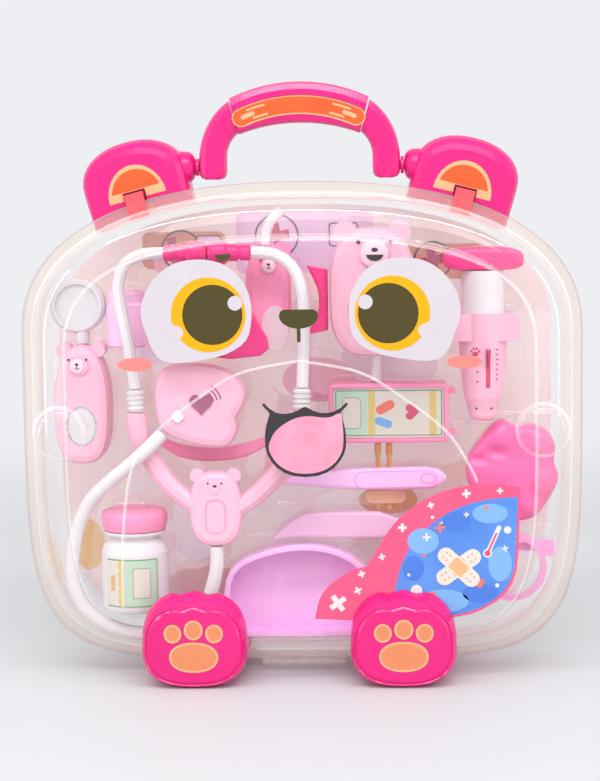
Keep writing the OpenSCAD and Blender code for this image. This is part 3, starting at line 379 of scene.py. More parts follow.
CLEAR = clear_plastic("clear_wall", (1.0, 0.998, 0.998), 0.035, 0.95, (1.0, 0.98, 0.98))
CLEAR_INNER = clear_plastic("clear_inner_wall", (1.0, 1.0, 1.0), 0.0, 0.25)
CLEAR_RIM = clear_plastic("clear_rim", (1.0, 0.985, 0.97), 0.11, 0.7, (0.88, 0.8, 0.75), 0.15, 0.3)
CLEAR_SIDE = clear_plastic("clear_side", (1.0, 0.99, 0.98), 0.1, 0.95, (1.0, 0.97, 0.95), 0.5, 0.6, 2.0)
# Painted light: the next material is a near-white, mostly matte strip that paints the highlights along the
# shells' edges; the one after it is a greyish pink strip that paints the dark shade lines beside them.
CLEAR_HIGHLIGHT = clear_plastic("clear_painted_highlight", (1.0, 1.0, 1.0), 0.24, 0.9, (1.0, 1.0, 1.0), 0.25, 0.2, 1.8)
CLEAR_SHADE_LINE = clear_plastic(
    "clear_painted_shade_line", (0.99, 0.97, 0.97), 0.2, 0.75, (0.72, 0.64, 0.64), 0.25, 0.5, 1.5)
CLEAR_TRAY = clear_plastic("clear_tray", (1.0, 0.995, 0.998), 0.06, 0.85, wave=0.6)
CLEAR_SALMON = clear_plastic("clear_salmon", (1.0, 0.6, 0.62), 0.62, 0.9, rgb(246, 110, 118), gloss=0.0)
# The shells' materials, and the places in that list
SHELL_MATERIALS = [CLEAR, CLEAR_RIM, CLEAR_INNER, CLEAR_HIGHLIGHT, CLEAR_SHADE_LINE, CLEAR_SALMON, CLEAR_SIDE]
WALL_SKIN, RIM_SKIN, INNER_SKIN, HIGHLIGHT_SKIN, SHADE_LINE_SKIN, SALMON_SKIN, SIDE_SKIN = range(7)

HOT = plastic("hot_pink_plastic", (222, 20, 121), 0.3, 0.35)
DEEP = plastic("deep_pink_plastic", (246, 50, 138), 0.26, 0.2)
MID = plastic("mid_pink_plastic", (254, 150, 192), 0.3)
SOFT = plastic("soft_pink_plastic", (248, 187, 210), 0.34)
PALE = plastic("pale_pink_plastic", (255, 214, 230), 0.34)
ROSE = plastic("rose_plastic", (255, 112, 178), 0.22, 0.3)
VIOLET = plastic("violet_pink_plastic", (255, 174, 232), 0.28, 0.2)
ORCHID = plastic("orchid_plastic", (255, 200, 250), 0.28, 0.2)
LILAC = plastic("lilac_plastic", (248, 200, 236), 0.3)
WHITE = plastic("white_plastic", (229, 225, 228), 0.36, 0.1, vary=0.02)
SHEET_WHITE = plastic("sheet_white", (216, 214, 218), 0.3, 0.1, vary=0.02)
SALMON_PLASTIC = plastic("salmon_plastic", (245, 110, 115), 0.3, 0.2)
SWAB = plastic("swab_amber", (240, 190, 110), 0.5, 0.0)
PLASTER = plastic("plaster_peach", (248, 200, 165), 0.6, 0.0, grain=0.5)
SILVER = brushed_metal("silver_foil", (0.72, 0.72, 0.74))
CARD_BACK = blurred_print("card_print")

# Inks of one colour
INKS = {
    "eye_white": (222, 214, 222), "olive": (82, 72, 34), "dark_olive": (78, 74, 34), "charcoal": (62, 60, 62),
    "peach": (246, 190, 142), "paw_orange": (244, 150, 106), "sky_light": (136, 190, 250),
    "sky_dark": (84, 134, 232), "white": (240, 238, 240), "cream": (242, 234, 222), "mint": (208, 236, 212),
    "green": (120, 176, 138), "straw": (240, 214, 130), "grey": (176, 164, 168), "coral": (255, 132, 112),
    "rose": (232, 92, 130), "pale_pink": (255, 226, 238), "card_cross": (214, 70, 130),
    "card_line": (112, 70, 100)}
# Inks that drift between two colours, with the scale of the drift
DRIFTING_INKS = {
    "yellow": ((244, 182, 8), (255, 184, 4), 60), "tongue": ((248, 156, 184), (255, 176, 204), 75),
    "salmon": ((246, 146, 140), (255, 140, 130), 60), "orange": ((246, 106, 54), (255, 100, 52), 45),
    "band": ((246, 100, 142), (255, 96, 142), 60), "sky": ((104, 160, 244), (92, 146, 236), 30),
    "dusky": ((186, 110, 142), (172, 100, 130), 160)}
# Inks that lie in the shade inside the case, kept at full brightness while the inks outside are dimmed:
# painted light that makes up for the shade inside
INNER_INKS = {
    "card_brown": ((232, 172, 142), (220, 152, 128), 40),
    "card_lilac": ((238, 208, 240), (226, 190, 226), 40),
    "card_rose": ((252, 200, 214), (250, 188, 206), 40),
    "card_grey": ((250, 240, 248), (240, 230, 242), 40),
    "card_tan": ((242, 206, 150), (236, 196, 140), 40),
    "orchid": ((255, 200, 248),), "orchid_edge": ((252, 150, 226),)}


def mix_inks():
    """All the printed films."""
    # Inks outside the case are dimmed to 0.81 and inks inside keep full brightness, painted light against the
    # shade inside the case.
    rows = [(name, (colour,), 0.81) for name, colour in INKS.items()]
    rows += [(name, row, 0.81) for name, row in DRIFTING_INKS.items()]
    rows += [(name, row, 1.0) for name, row in INNER_INKS.items()]
    return {name: print_film(name if name.startswith("card_") else "film_" + name, *row, level=level)
            for name, row, level in rows}


FILM = mix_inks()


# Building pieces

def add_object(name, data):
    obj = bpy.data.objects.new(name, data)
    bpy.context.scene.collection.objects.link(obj)
    return obj


def outward(bm):
    """Turns all faces outwards."""
    bmesh.ops.recalc_face_normals(bm, faces=bm.faces)


def finish_piece(name, bm, material, body, smooth=40.0, bevel=0.0, face_out=True):
    """Makes an object of the mesh, in metres, that rides on a body."""
    if face_out:
        outward(bm)
    bmesh.ops.scale(bm, vec=(MM, MM, MM), verts=bm.verts)
    mesh = bpy.data.meshes.new(name)
    bm.to_mesh(mesh)
    bm.free()
    for mat in (material if isinstance(material, list) else [material]):
        mesh.materials.append(mat)
    mesh.shade_smooth()
    mesh.set_sharp_from_angle(angle=math.radians(smooth))
    obj = add_object(name, mesh)
    if bevel:
        mod = obj.modifiers.new("edge", "BEVEL")
        mod.width = bevel * MM
        mod.segments = 2
        mod.limit_method = "ANGLE"
        mod.angle_limit = math.radians(50)
        mod.harden_normals = True
    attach(obj, body)
    return obj


def add_loft(bm, rings, closed_ring=True, caps=True, tag=lambda j: 0):
    """Adds a skin through rings of points; tag(row) gives each strip's material index."""
    rows = [[bm.verts.new(p) for p in ring] for ring in rings]
    n = len(rows[0])
    for j in range(len(rows) - 1):
        for i in range(n if closed_ring else n - 1):
            k = (i + 1) % n
            face = bm.faces.new((rows[j][i], rows[j][k], rows[j + 1][k], rows[j + 1][i]))
            face.material_index = tag(j)
    if caps:
        bm.faces.new(rows[0][::-1])
        bm.faces.new(rows[-1])


def add_plate(bm, outline, y0, y1):
    """Adds a flat plate with the outline between two depths."""
    front = [bm.verts.new((x, y0, z)) for x, z in outline]
    back = [bm.verts.new((x, y1, z)) for x, z in outline]
    n = len(outline)
    bm.faces.new(front)
    bm.faces.new(back[::-1])
    for i in range(n):
        k = (i + 1) % n
        bm.faces.new((front[k], front[i], back[i], back[k]))


def add_tube(bm, route, r, sides=12, squash=1.0, material=0):
    """Adds a round tube along a route of points; squash flattens it in depth."""
    n = len(route)
    rings = []
    for i in range(n):
        way = (Vector(route[min(i + 1, n - 1)]) - Vector(route[max(i - 1, 0)])).normalized()
        e1 = way.cross(Vector((0, 1, 0))).normalized()
        e2 = e1.cross(way)
        rings.append([Vector(route[i]) + r * (math.cos(t) * e1 + math.sin(t) * squash * e2)
                      for t in circle(sides)])
    add_loft(bm, rings, tag=lambda j: material)


def add_lathe(bm, profile, centre, axis="y", n=48, tag=lambda j: 0):
    """Adds a turned form: profile is (radius, distance along the axis) from one end to the other."""
    rings = []
    for r, d in profile:
        ring = []
        for t in circle(n):
            u, v = max(r, 0.001) * math.cos(t), max(r, 0.001) * math.sin(t)
            p = (u, d, v) if axis == "y" else (d, u, v)
            ring.append(tuple(a + b for a, b in zip(centre, p)))
        rings.append(ring)
    add_loft(bm, rings, tag=tag)


def add_box(bm, x, y, z, turn=None, material=0):
    """Adds a box, turned by a matrix if one is given."""
    corners = [Vector((a, b, c)) for a in x for b in y for c in z]
    if turn:
        corners = [turn @ p for p in corners]
    v = [bm.verts.new(p) for p in corners]
    for q in ((0, 1, 3, 2), (4, 6, 7, 5), (0, 4, 5, 1), (2, 3, 7, 6), (0, 2, 6, 4), (1, 5, 7, 3)):
        bm.faces.new([v[i] for i in q]).material_index = material


# Clear shells: rows of depth, share of the way to the panel's outline, and inset, with smooth steps between

INNER_IN = FLANGE_W + WALL
FRONT_OUTER = [(PANEL_Y + y, share, FLANGE_W) for y, share in (
    (0, 1.2), (0.5, 1.08), (1.8, 1.02), (5, 0.98), (5.8, 0.9), (6.2, 0.68), (7.8, 0.42), (11, 0.22),
    (16, 0.08))]
FRONT_OUTER.append((FRONT_FLANGE_Y - 1, 0, FLANGE_W))
FRONT_FLANGE = [
    (FRONT_FLANGE_Y, 0, FLANGE_W - 1), (FRONT_FLANGE_Y, 0, 0.6), (FRONT_FLANGE_Y + 0.6, 0, 0),
    (SEAM_Y - SEAM_GAP - 0.4, 0, 0), (SEAM_Y - SEAM_GAP, 0, 0.4), (SEAM_Y - SEAM_GAP, 0, LIP_IN),
    (LIP_Y, 0, LIP_IN), (LIP_Y, 0, LIP_IN + 1.5), (FRONT_FLANGE_Y - 1, 0, LIP_IN + 1.5)]
FRONT_INNER = [(FRONT_FLANGE_Y - 2.4, 0, INNER_IN)]
FRONT_INNER += [(PANEL_Y + y, share, INNER_IN) for y, share in ((16.4, 0.08), (12.2, 0.22), (9.5, 0.42))]
FRONT_INNER += [(PANEL_Y + y + WALL, share, INNER_IN) for y, share in (
    (6.2, 0.68), (5.8, 0.92), (5, 1.06), (0.7, 1.11), (0, 1.2))]
BACK_FLANGE = [
    (SEAM_Y + SEAM_GAP, 0, INNER_IN), (SEAM_Y + SEAM_GAP, 0, 0.4), (SEAM_Y + SEAM_GAP + 0.4, 0, 0),
    (BACK_FLANGE_Y - 0.6, 0, 0), (BACK_FLANGE_Y, 0, 0.6), (BACK_FLANGE_Y, 0, FLANGE_W - 1)]
BACK_OUTER = [(BACK_FLANGE_Y + 1, 0, FLANGE_W)]
BACK_OUTER += [(BACK_Y - y, 0, FLANGE_W + inset) for y, inset in (
    (14, 1.5), (6, 3.5), (2.5, 8), (0.5, 14), (0, 22))]
BACK_INNER = [(BACK_Y - y - WALL, 0, FLANGE_W + inset) for y, inset in ((0, 22), (0.4, 15), (2.2, 9.5))]
BACK_INNER += [
    (BACK_Y - 5.2 - WALL, 0, FLANGE_W + 3.4 + WALL), (BACK_Y - 14, 0, FLANGE_W + 1.5 + WALL),
    (BACK_FLANGE_Y + 1, 0, INNER_IN)]


def shell_ring(row):
    return [(x, row[0], z) for x, z in case_outline(row[1], row[2])]


def shrunk(ring, k):
    """A ring drawn towards the middle of the face."""
    cz = RIM[1] - 46
    return [(x * k, y, cz + (z - cz) * k) for x, y, z in ring]


def add_panel(bm, row, material=0, shares=(0.97, 0.8, 0.5, 0.2)):
    """Adds the flat face inside a shell row, in rings so that it shades evenly."""
    ring = shell_ring(row)
    add_loft(bm, [ring] + [shrunk(ring, k) for k in shares], caps=False, tag=lambda j: material)
    bm.faces.new([bm.verts.new(p) for p in shrunk(ring, shares[-1])]).material_index = material


def add_knuckles(bm, places, side):
    """Adds hinge knuckles with their bores and the web to the flange."""
    web = (SEAM_Y + SEAM_GAP, BACK_FLANGE_Y - 0.2) if side > 0 else (FRONT_FLANGE_Y + 0.2, SEAM_Y - SEAM_GAP)
    profile = [(PIN_R, 0), (KNUCKLE_R - 0.3, 0), (KNUCKLE_R, 0.3), (KNUCKLE_R, KNUCKLE_L - 0.3),
               (KNUCKLE_R - 0.3, KNUCKLE_L), (PIN_R, KNUCKLE_L), (PIN_R, 0)]
    for k in places:
        x0 = k * KNUCKLE_STEP - KNUCKLE_L / 2
        rings = [[(x0 + d, SEAM_Y + r * math.cos(t), HINGE_Z + r * math.sin(t)) for t in circle(32)]
                 for r, d in profile]
        add_loft(bm, rings, caps=False)
        add_box(bm, (x0, x0 + KNUCKLE_L), web, (HINGE_Z + PIN_R + 0.4, RIM[1] - RIM[4] + 3))


def ridge_points(side):
    """The raised arch over the muzzle, from the middle down to one side."""
    half = [(0, 166.5), (30, 160.5), (52, 147.5), (74, 130), (86, 112)]
    tail = [(89.5, 104)] if side > 0 else [(91, 80), (92, 40)]
    return [(side * x, z) for x, z in spline(half + tail, 10)]


CHEEK_X = 123.3
CHEEK_Z = 130.0
CHEEK_R = 14.2
# Radius and height of a cheek boss, from its middle outwards
CHEEK_DOME = [
    (0, 6.6), (4, 6.5), (8, 6.05), (10.5, 5.2), (12.4, 3.9), (13.6, 2.6), (CHEEK_R, 1.2), (CHEEK_R, -2)]
TAB_X = 84.5
TAB_Z = 247.0
TAB_W = 10.0
TAB_T = 1.6
# Points of a shell that lie closer than this are joined
WELD = 0.01
# Steps between the rows outside and inside, and the lid's strips at the panel's edge and at its foot, which
# carry the painted highlight and the painted shade
OUTER_STEPS = 5
INNER_STEPS = 4
PANEL_EDGE_HIGHLIGHT = range(5, 9)
PANEL_FOOT_SHADE = range(16, 19)


def tab_turn(side):
    """Places the latch tab of one side."""
    lean = Matrix.Rotation(-EAR_LEAN, 4, "Y")
    place = Matrix.Translation((-TAB_X, 0, TAB_Z)) @ lean
    return place if side < 0 else Matrix.Scale(-1, 4, (1, 0, 0)) @ place


def make_front_shell():
    bm = bmesh.new()
    outer = spline(FRONT_OUTER, OUTER_STEPS)
    rows = outer + FRONT_FLANGE + spline(FRONT_INNER, INNER_STEPS)
    first, last = len(outer) - 1, len(outer) + len(FRONT_FLANGE)

    def part(j):
        """Painted highlight at the panel's edge and the flange's root, painted shade at the panel's foot and
        the flange's edge.
        """
        if j in PANEL_EDGE_HIGHLIGHT or j == first:
            return HIGHLIGHT_SKIN
        if j in PANEL_FOOT_SHADE or first + 2 <= j < first + 5:
            return SHADE_LINE_SKIN
        if PANEL_EDGE_HIGHLIGHT.stop <= j < first:
            return SIDE_SKIN
        return WALL_SKIN if j < first else RIM_SKIN if j < last - 1 else INNER_SKIN

    add_loft(bm, [shell_ring(r) for r in rows], caps=False, tag=part)
    add_panel(bm, FRONT_OUTER[0])
    add_panel(bm, FRONT_INNER[-1], INNER_SKIN)
    bmesh.ops.remove_doubles(bm, verts=bm.verts, dist=WELD)
    outward(bm)
    add_knuckles(bm, (-1, 1), -1)
    dome = [(r, -d) for r, d in CHEEK_DOME]
    half = (-TAB_W / 2, TAB_W / 2)
    tab_back = FRONT_FLANGE_Y + TAB_T
    for side in (-1, 1):
        # The ridge and the outer rings of the cheek bosses carry the painted highlight.
        add_tube(bm, [(x, PANEL_Y + 0.1, z) for x, z in ridge_points(side)], 0.7, 10, 0.9, HIGHLIGHT_SKIN)
        add_lathe(bm, dome, (side * CHEEK_X, PANEL_Y + 5.5, CHEEK_Z), n=64,
                  tag=lambda j: HIGHLIGHT_SKIN if j in (4, 5) else WALL_SKIN)
        turn = tab_turn(side)
        add_box(bm, half, (FRONT_FLANGE_Y - 0.02, tab_back), (-8, 5), turn, SALMON_SKIN)
        add_box(bm, half, (tab_back, FRONT_FLANGE_Y + FLANGE_T + 4.4), (2.4, 5), turn, SALMON_SKIN)
    obj = finish_piece("clear_lid", bm, SHELL_MATERIALS, "lid", smooth=38, face_out=False)
    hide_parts("front_shell")


def make_back_shell():
    bm = bmesh.new()
    outer = [shell_ring(r) for r in BACK_FLANGE + spline(BACK_OUTER, OUTER_STEPS)]
    inner = [shell_ring(r) for r in spline(BACK_INNER, INNER_STEPS) + [BACK_FLANGE[0]]]
    # The back flange's outer edge carries the painted shade line.
    rim = [RIM_SKIN, SHADE_LINE_SKIN, SHADE_LINE_SKIN, SHADE_LINE_SKIN, RIM_SKIN, RIM_SKIN]
    add_loft(bm, outer, caps=False, tag=lambda j: rim[j] if j < len(rim) else WALL_SKIN)
    add_loft(bm, inner, caps=False, tag=lambda j: INNER_SKIN)
    add_panel(bm, BACK_OUTER[-1])
    add_panel(bm, BACK_INNER[0], INNER_SKIN)
    bmesh.ops.remove_doubles(bm, verts=bm.verts, dist=WELD)
    outward(bm)
    add_knuckles(bm, (-2, 0, 2), 1)
    obj = finish_piece("clear_back", bm, SHELL_MATERIALS, "case", smooth=38, face_out=False)
    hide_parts("back_shell")


# Place across and up, radius and front depth of each cup that carries a toy
CUPS = [
    (-51, 141, 9, -14.5), (-44.5, 88, 7, -16), (-85, 146, 5, STETH_Y + 4.7), (0.5, 146, 5, STETH_Y + 4.7),
    (-121, 50, 4.5, -11), (-99, 104.5, 4.5, -18.2), (4, 101, 3.5, -2), (62, 101, 3.5, -2),
    (-8, 73, 3.5, 0.5), (44, 75, 4, 0.5), (-46, 182, 5, -8.3)]
# Toys whose pockets show as raised lines in the tray
POCKETS = ["mirror_bear", "torch", "bulb_bear", "gauge_bear", "syringe_barrel", "chart_frame", "mask", "dish",
           "bottle_body", "tweezers"]


def make_tray():
    bm = bmesh.new()
    add_plate(bm, case_outline(0, FLANGE_W + WALL + 0.6 + FIT), TRAY_Y, TRAY_Y + TRAY_T)
    for x, z, r, front in CUPS:
        reach = TRAY_Y - front
        profile = [(r + 1.4, -0.02), (r + 0.4, -1.0), (r, -2.2), (r, -reach + 1.2), (r - 1.2, -reach + FIT),
                   (0, -reach + FIT)]
        add_lathe(bm, profile, (x, TRAY_Y, z), n=32)
    for toy in POCKETS:
        lo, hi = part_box(toy)
        pad = 3.0
        x0, x1, z0, z1 = lo.x / MM - pad, hi.x / MM + pad, lo.z / MM - pad, hi.z / MM + pad
        loop = [(x, TRAY_Y, z) for x, z in round_rect(x0, x1, z0, z1, min(9, (x1 - x0) / 3, (z1 - z0) / 3))]
        add_tube(bm, loop + loop[:1], 1.3, 8, 0.7)
    obj = finish_piece("clear_insert_tray", bm, CLEAR_TRAY, "case", smooth=50)
    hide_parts("insert_tray", "tray_cups")


# Prints on the face: thin layers in front of the labels

def layer(name, outlines, level, film, body="lid", slot="face_label", plane=PANEL_Y - LABEL_T):
    """A printed layer: one or more outlines, level steps in front of the label's plane."""
    bm = bmesh.new()
    y = plane - INK * level
    for outline in outlines:
        add_plate(bm, outline, y, y + INK * 0.8)
    return finish_piece(name, bm, FILM[film], body, smooth=30)


def layers(prefix, rows, *place):
    """Layers from rows of name, level, film and outlines, on one body, slot and plane."""
    for name, level, film, *outlines in rows:
        layer(prefix + name, outlines, level, film, *place)


EYE_X = 45.6
EYE_Z = 190.2
EYE_SHIFT = 1.7


def make_eyes():
    for side, word, cx in ((-1, "left", -EYE_X), (1, "right", EYE_X + EYE_SHIFT)):
        layers("", [
            (f"iris_{word}", 1, "yellow", ellipse(cx, EYE_Z, 18.9, n=72)),
            (f"pupil_{word}", 2, "olive", ellipse(cx - side * 2.1, EYE_Z, 15.2, n=72)),
            (f"eye_gleam_{word}", 3, "eye_white", ellipse(cx - side * 13.6, EYE_Z + 5.8, 3.7, n=32)),
            (f"eye_bite_{word}", 2, "eye_white", ellipse(cx + side * 16.3, EYE_Z - 8.8, 3.5, 3.4, n=32)),
            (f"eye_bite_end_{word}", 3, "eye_white", ellipse(cx + side * 19.2, EYE_Z - 7.2, 3.3, 3.0, n=24))])


LIP_X = 2.7
LIP_Z = 143.0
TONGUE = [
    (2, -4.6), (8.5, -5.3), (13, -5.1), (17.9, -3.4), (19.0, -9.5), (19.3, -17), (18.2, -23.5), (13.5, -29.8),
    (5.5, -33.5), (-5, -33.6), (-13, -30), (-17.6, -24), (-18.5, -19.2), (-15.4, -12.6), (-9.6, -7.9),
    (-4, -5.4)]


def make_mouth():
    layer("tongue", [[(LIP_X + x, LIP_Z + z) for x, z in spline(TONGUE, 4, closed=True)]], 1, "tongue")
    tips = []
    for side in (-1, 1):
        line = spline([(side * 16.6, -2.3), (side * 18.6, -1.1), (side * 20.9, 1.3)], 4)
        tips.append(stroke([(LIP_X + x, LIP_Z + z) for x, z in line], 0.75))
    layer("mouth_tips", tips, 0.5, "charcoal")


# The blue field's edge, above and below
FIELD_TOP = [(110.2, 96.4), (92.4, 94.8), (76.8, 89.5), (65.1, 81.6), (56.5, 72.2), (51, 62), (48.3, 52.2)]
FIELD_FOOT = [
    (46.5, 44), (49.5, 34.6), (60, 34.0), (78, 35.8), (91.4, 39.7), (102.6, 47.8), (107.8, 58.4), (109.2, 74)]
# Places of the plasters, and of the thermometer with its turn
PLASTERS = (80, 60.5)
STEM = (97.5, 74, -0.42)
# Place, size, arm and turn of the crosses on the band, first those with arms of their own
BAND_CROSSES = [(18.4, 42.1, 4.6, 1.35, 0.62), (28.6, 48.6, 2.0, 0.62, 0.5), (30.6, 57.2, 1.8, 0.6, 0.3)]
SMALL_CROSSES = [
    (41, 66, 1.7, 0.2), (51.5, 81, 2.2, 0.0), (66, 92.4, 1.7, 0.3), (84, 98.2, 2.2, 0.1),
    (101, 99.6, 1.6, 0.0)]


def make_corner():
    """A band with crosses round a blue field with generic medical shapes."""
    crosses = [cross_at(*row) for row in BAND_CROSSES]
    crosses += [cross_at(x, z, size, size * 0.32, turn) for x, z, size, turn in SMALL_CROSSES]
    rows = [
        ("field", 1, "sky", spline(FIELD_TOP, 6) + spline(FIELD_FOOT, 5)),
        ("crosses", 1.2, "white", *crosses),
        ("clouds", 2, "sky_light", ellipse(62, 74, 8, 6.6), ellipse(96, 88, 9, 5), ellipse(72, 43, 13, 6),
         ellipse(101, 62, 6, 9)),
        ("deep", 2, "sky_dark", ellipse(79, 84, 7.4, 5.2), ellipse(57, 60, 5.5, 6.5), ellipse(91, 47, 9, 5)),
        ("bubbles", 3, "white", ellipse(58.5, 48.6, 2.9), ellipse(104.8, 79.5, 1.9), ellipse(66.8, 86.2, 0.9),
         ellipse(71.5, 83.4, 0.6), ellipse(99.5, 51, 1.1), ellipse(54.6, 56.6, 0.8)),
        ("sparkles", 3, "coral", sparkle(70.5, 80.8, 3.2, 0.1), sparkle(94, 91, 1.8, 0.0),
         sparkle(62.5, 66.5, 1.6, 0.2)),
        ("plus", 3, "white", cross_at(63.8, 76, 2.1, 0.5, 0.1), cross_at(84, 87.5, 1.4, 0.4, 0.0),
         cross_at(103.6, 70, 1.6, 0.45, 0.2))]
    # A crossed pair of plasters
    for k, (turn, lift) in enumerate(((0.62, 4), (-0.75, 4.6))):
        dots = [ellipse(side * d, dz, 0.45, n=10) for side in (-1, 1) for d in (7, 9.4) for dz in (-1.5, 1.5)]
        rows += [
            (f"plaster_{k}", lift, "cream",
             turned_flat(round_rect(-13, 13, -4.2, 4.2, 4.1), *PLASTERS, turn)),
            (f"plaster_pad_{k}", lift + 0.25, "peach",
             turned_flat(round_rect(-4.4, 4.4, -3.4, 3.4, 0.8), *PLASTERS, turn)),
            (f"plaster_dots_{k}", lift + 0.25, "coral", *(turned_flat(dot, *PLASTERS, turn) for dot in dots))]
    # A thermometer, a pill and a heart
    pill = round_rect(-4.8, 4.8, -2.1, 2.1, 2.05)
    rows += [
        ("thermometer", 4, "white", turned_flat(round_rect(-1.25, 1.25, -6.5, 8.5, 1.2), *STEM)),
        ("thermometer_bulb", 4.3, "white", turned_flat(ellipse(0, -7, 2.3), *STEM)),
        ("mercury", 4.6, "rose", turned_flat(round_rect(-0.5, 0.5, -6.5, 4.5, 0.45), *STEM)),
        ("mercury_bulb", 4.9, "rose", turned_flat(ellipse(0, -7, 1.5), *STEM)),
        ("pill", 4, "coral", turned_flat(pill, 64, 44.5, 0.5)),
        ("pill_half", 4.3, "cream", turned_flat([(x, z) for x, z in pill if x <= 0], 64, 44.5, 0.5)),
        ("heart", 4, "coral", heart(90.5, 52, 0.17, 0.2))]
    layers("corner_", rows, "lid", "corner_print")


def half_disc(d, base=2.6):
    """The ear label's outline, drawn in by d."""
    r, rise = 15.2 - d, 17.4 - 2 * d
    turns = [math.pi * i / 24 for i in range(25)]
    return [(r * math.cos(t), base + d + rise * math.sin(t)) for t in turns]


def make_ear_prints():
    inner = [(x, max(z, 7.1)) for x, z in half_disc(2.3)]
    plane = EAR_Y - 0.1
    layer("ear_centres", [leaned(inner, -1), leaned(inner, 1)], 1, "orange", "case", "orange_label", plane)


GRIP_CZ = 308.4 - 84.0
LABEL_R = 72.0
LABEL_HALF = 4.9
LABEL_A = 24.5
# Fronts of the labels on the grip and on the feet, of the chart and of the back card
GRIP_LABEL_Y = -2.5
PAW_LABEL_Y = -47.8
CHART_Y = -8.9
CARD_Y = 36.2


def arc_band(r, half, a0, a1, n=24, k=8):
    """A band along an arc about the grip's centre, from angle a0 to a1 off the upright, with round ends."""
    a0, a1 = math.radians(a0), math.radians(a1)
    out = []
    for side, start, end in ((1, a0, a1), (-1, a1, a0)):
        radius = r + side * half
        arc = [start + (end - start) * i / n for i in range(n + 1)]
        out += [(radius * math.sin(a), GRIP_CZ + radius * math.cos(a)) for a in arc]
        x, z = r * math.sin(end), GRIP_CZ + r * math.cos(end)
        arc = [end + math.pi * j / k for j in range(1, k)]
        out += [(x + side * half * math.sin(a), z + side * half * math.cos(a)) for a in arc]
    return out


def make_handle_print():
    rows = [("field", 1, "orange", arc_band(LABEL_R, LABEL_HALF - 0.75, -LABEL_A, LABEL_A))]
    for side, word in ((-1, "left"), (1, "right")):
        rows.append((f"swoosh_{word}", 1.6, "peach",
                     arc_band(LABEL_R - 0.2, 1.1, side * 21.5 - 2.2, side * 21.5 + 2.2, 6),
                     arc_band(LABEL_R + 2.3, 0.5, side * 17.5 - 3.5, side * 17.5 + 3.5, 6),
                     arc_band(LABEL_R - 2.6, 0.5, side * 16.5 - 3, side * 16.5 + 3, 6)))
    layers("handle_", rows, "handle", "orange_label", GRIP_LABEL_Y)


FOOT_X = 53.4
FOOT_SHIFT = 1.7
PAW_Z = 17.0
# How far the print's edge lies inside the label's
PAW_EDGE = 1.15
# Place and half sizes of each toe
TOES = [(-10.6, 11.7, 4.6, 4.9), (0, 13.6, 4.9, 5.2), (10.6, 11.7, 4.6, 4.9)]


def make_paw_prints():
    d = PAW_EDGE
    outlines = []
    for side in (-1, 1):
        cx = side * FOOT_X - FOOT_SHIFT
        outlines.append(ellipse(cx, PAW_Z - 0.5, 12.6 - d, 7.9 - d, 56, power=2.2))
        for x, z, a, b in TOES:
            outlines.append(ellipse(cx + x, PAW_Z + z, a - d, b - d, 32))
    layer("paw_centres", outlines, 1, "paw_orange", "lid", "orange_label", PAW_LABEL_Y)


# Prints on the toys

BOTTLE = (-88.5, -9.8)
BOTTLE_R = 17.8
# Patches on the bottle: ends round it, distance in from the label's ends, level, ink and scallops
BOTTLE_PATCHES = [
    ("green_edge", -14.4, 14.4, 0.5, 1, "green", 0), ("cream_side", -14.4, -4.5, 1.1, 2, "cream", 0),
    ("mint", -4.6, 13.8, 1.1, 2, "mint", 0), ("straw", -6.4, -4.2, 1.1, 3, "straw", 1.0),
    ("box_line", 0.6, 10.2, 5.0, 3, "grey", 0), ("box", 1.0, 9.8, 5.4, 4, "cream", 0),
    ("mark", -12.0, -9.4, 9, 3, "peach", 0)]


def curved_patch(name, x0, x1, z0, z1, level, film, wave):
    """A patch of print on the bottle, x as distance round it; wave scallops its left edge."""
    bm = bmesh.new()
    r = BOTTLE_R + INK * level
    cols, rows = 16, 24
    grid = []
    for j in range(rows + 1):
        z = z0 + (z1 - z0) * j / rows
        left = x0 - wave * abs(math.sin(math.pi * 5 * j / rows))
        row = []
        for i in range(cols + 1):
            a = (left + (x1 - left) * i / cols) / BOTTLE_R
            row.append((BOTTLE[0] + r * math.sin(a), BOTTLE[1] - r * math.cos(a), z))
        grid.append(row)
    add_loft(bm, grid, closed_ring=False, caps=False)
    finish_piece(name, bm, FILM[film], "case", smooth=60)


def make_bottle_prints():
    for name, x0, x1, inset, level, film, wave in BOTTLE_PATCHES:
        curved_patch("bottle_" + name, x0, x1, 37.6 + inset, 63.6 - inset, level, film, wave)


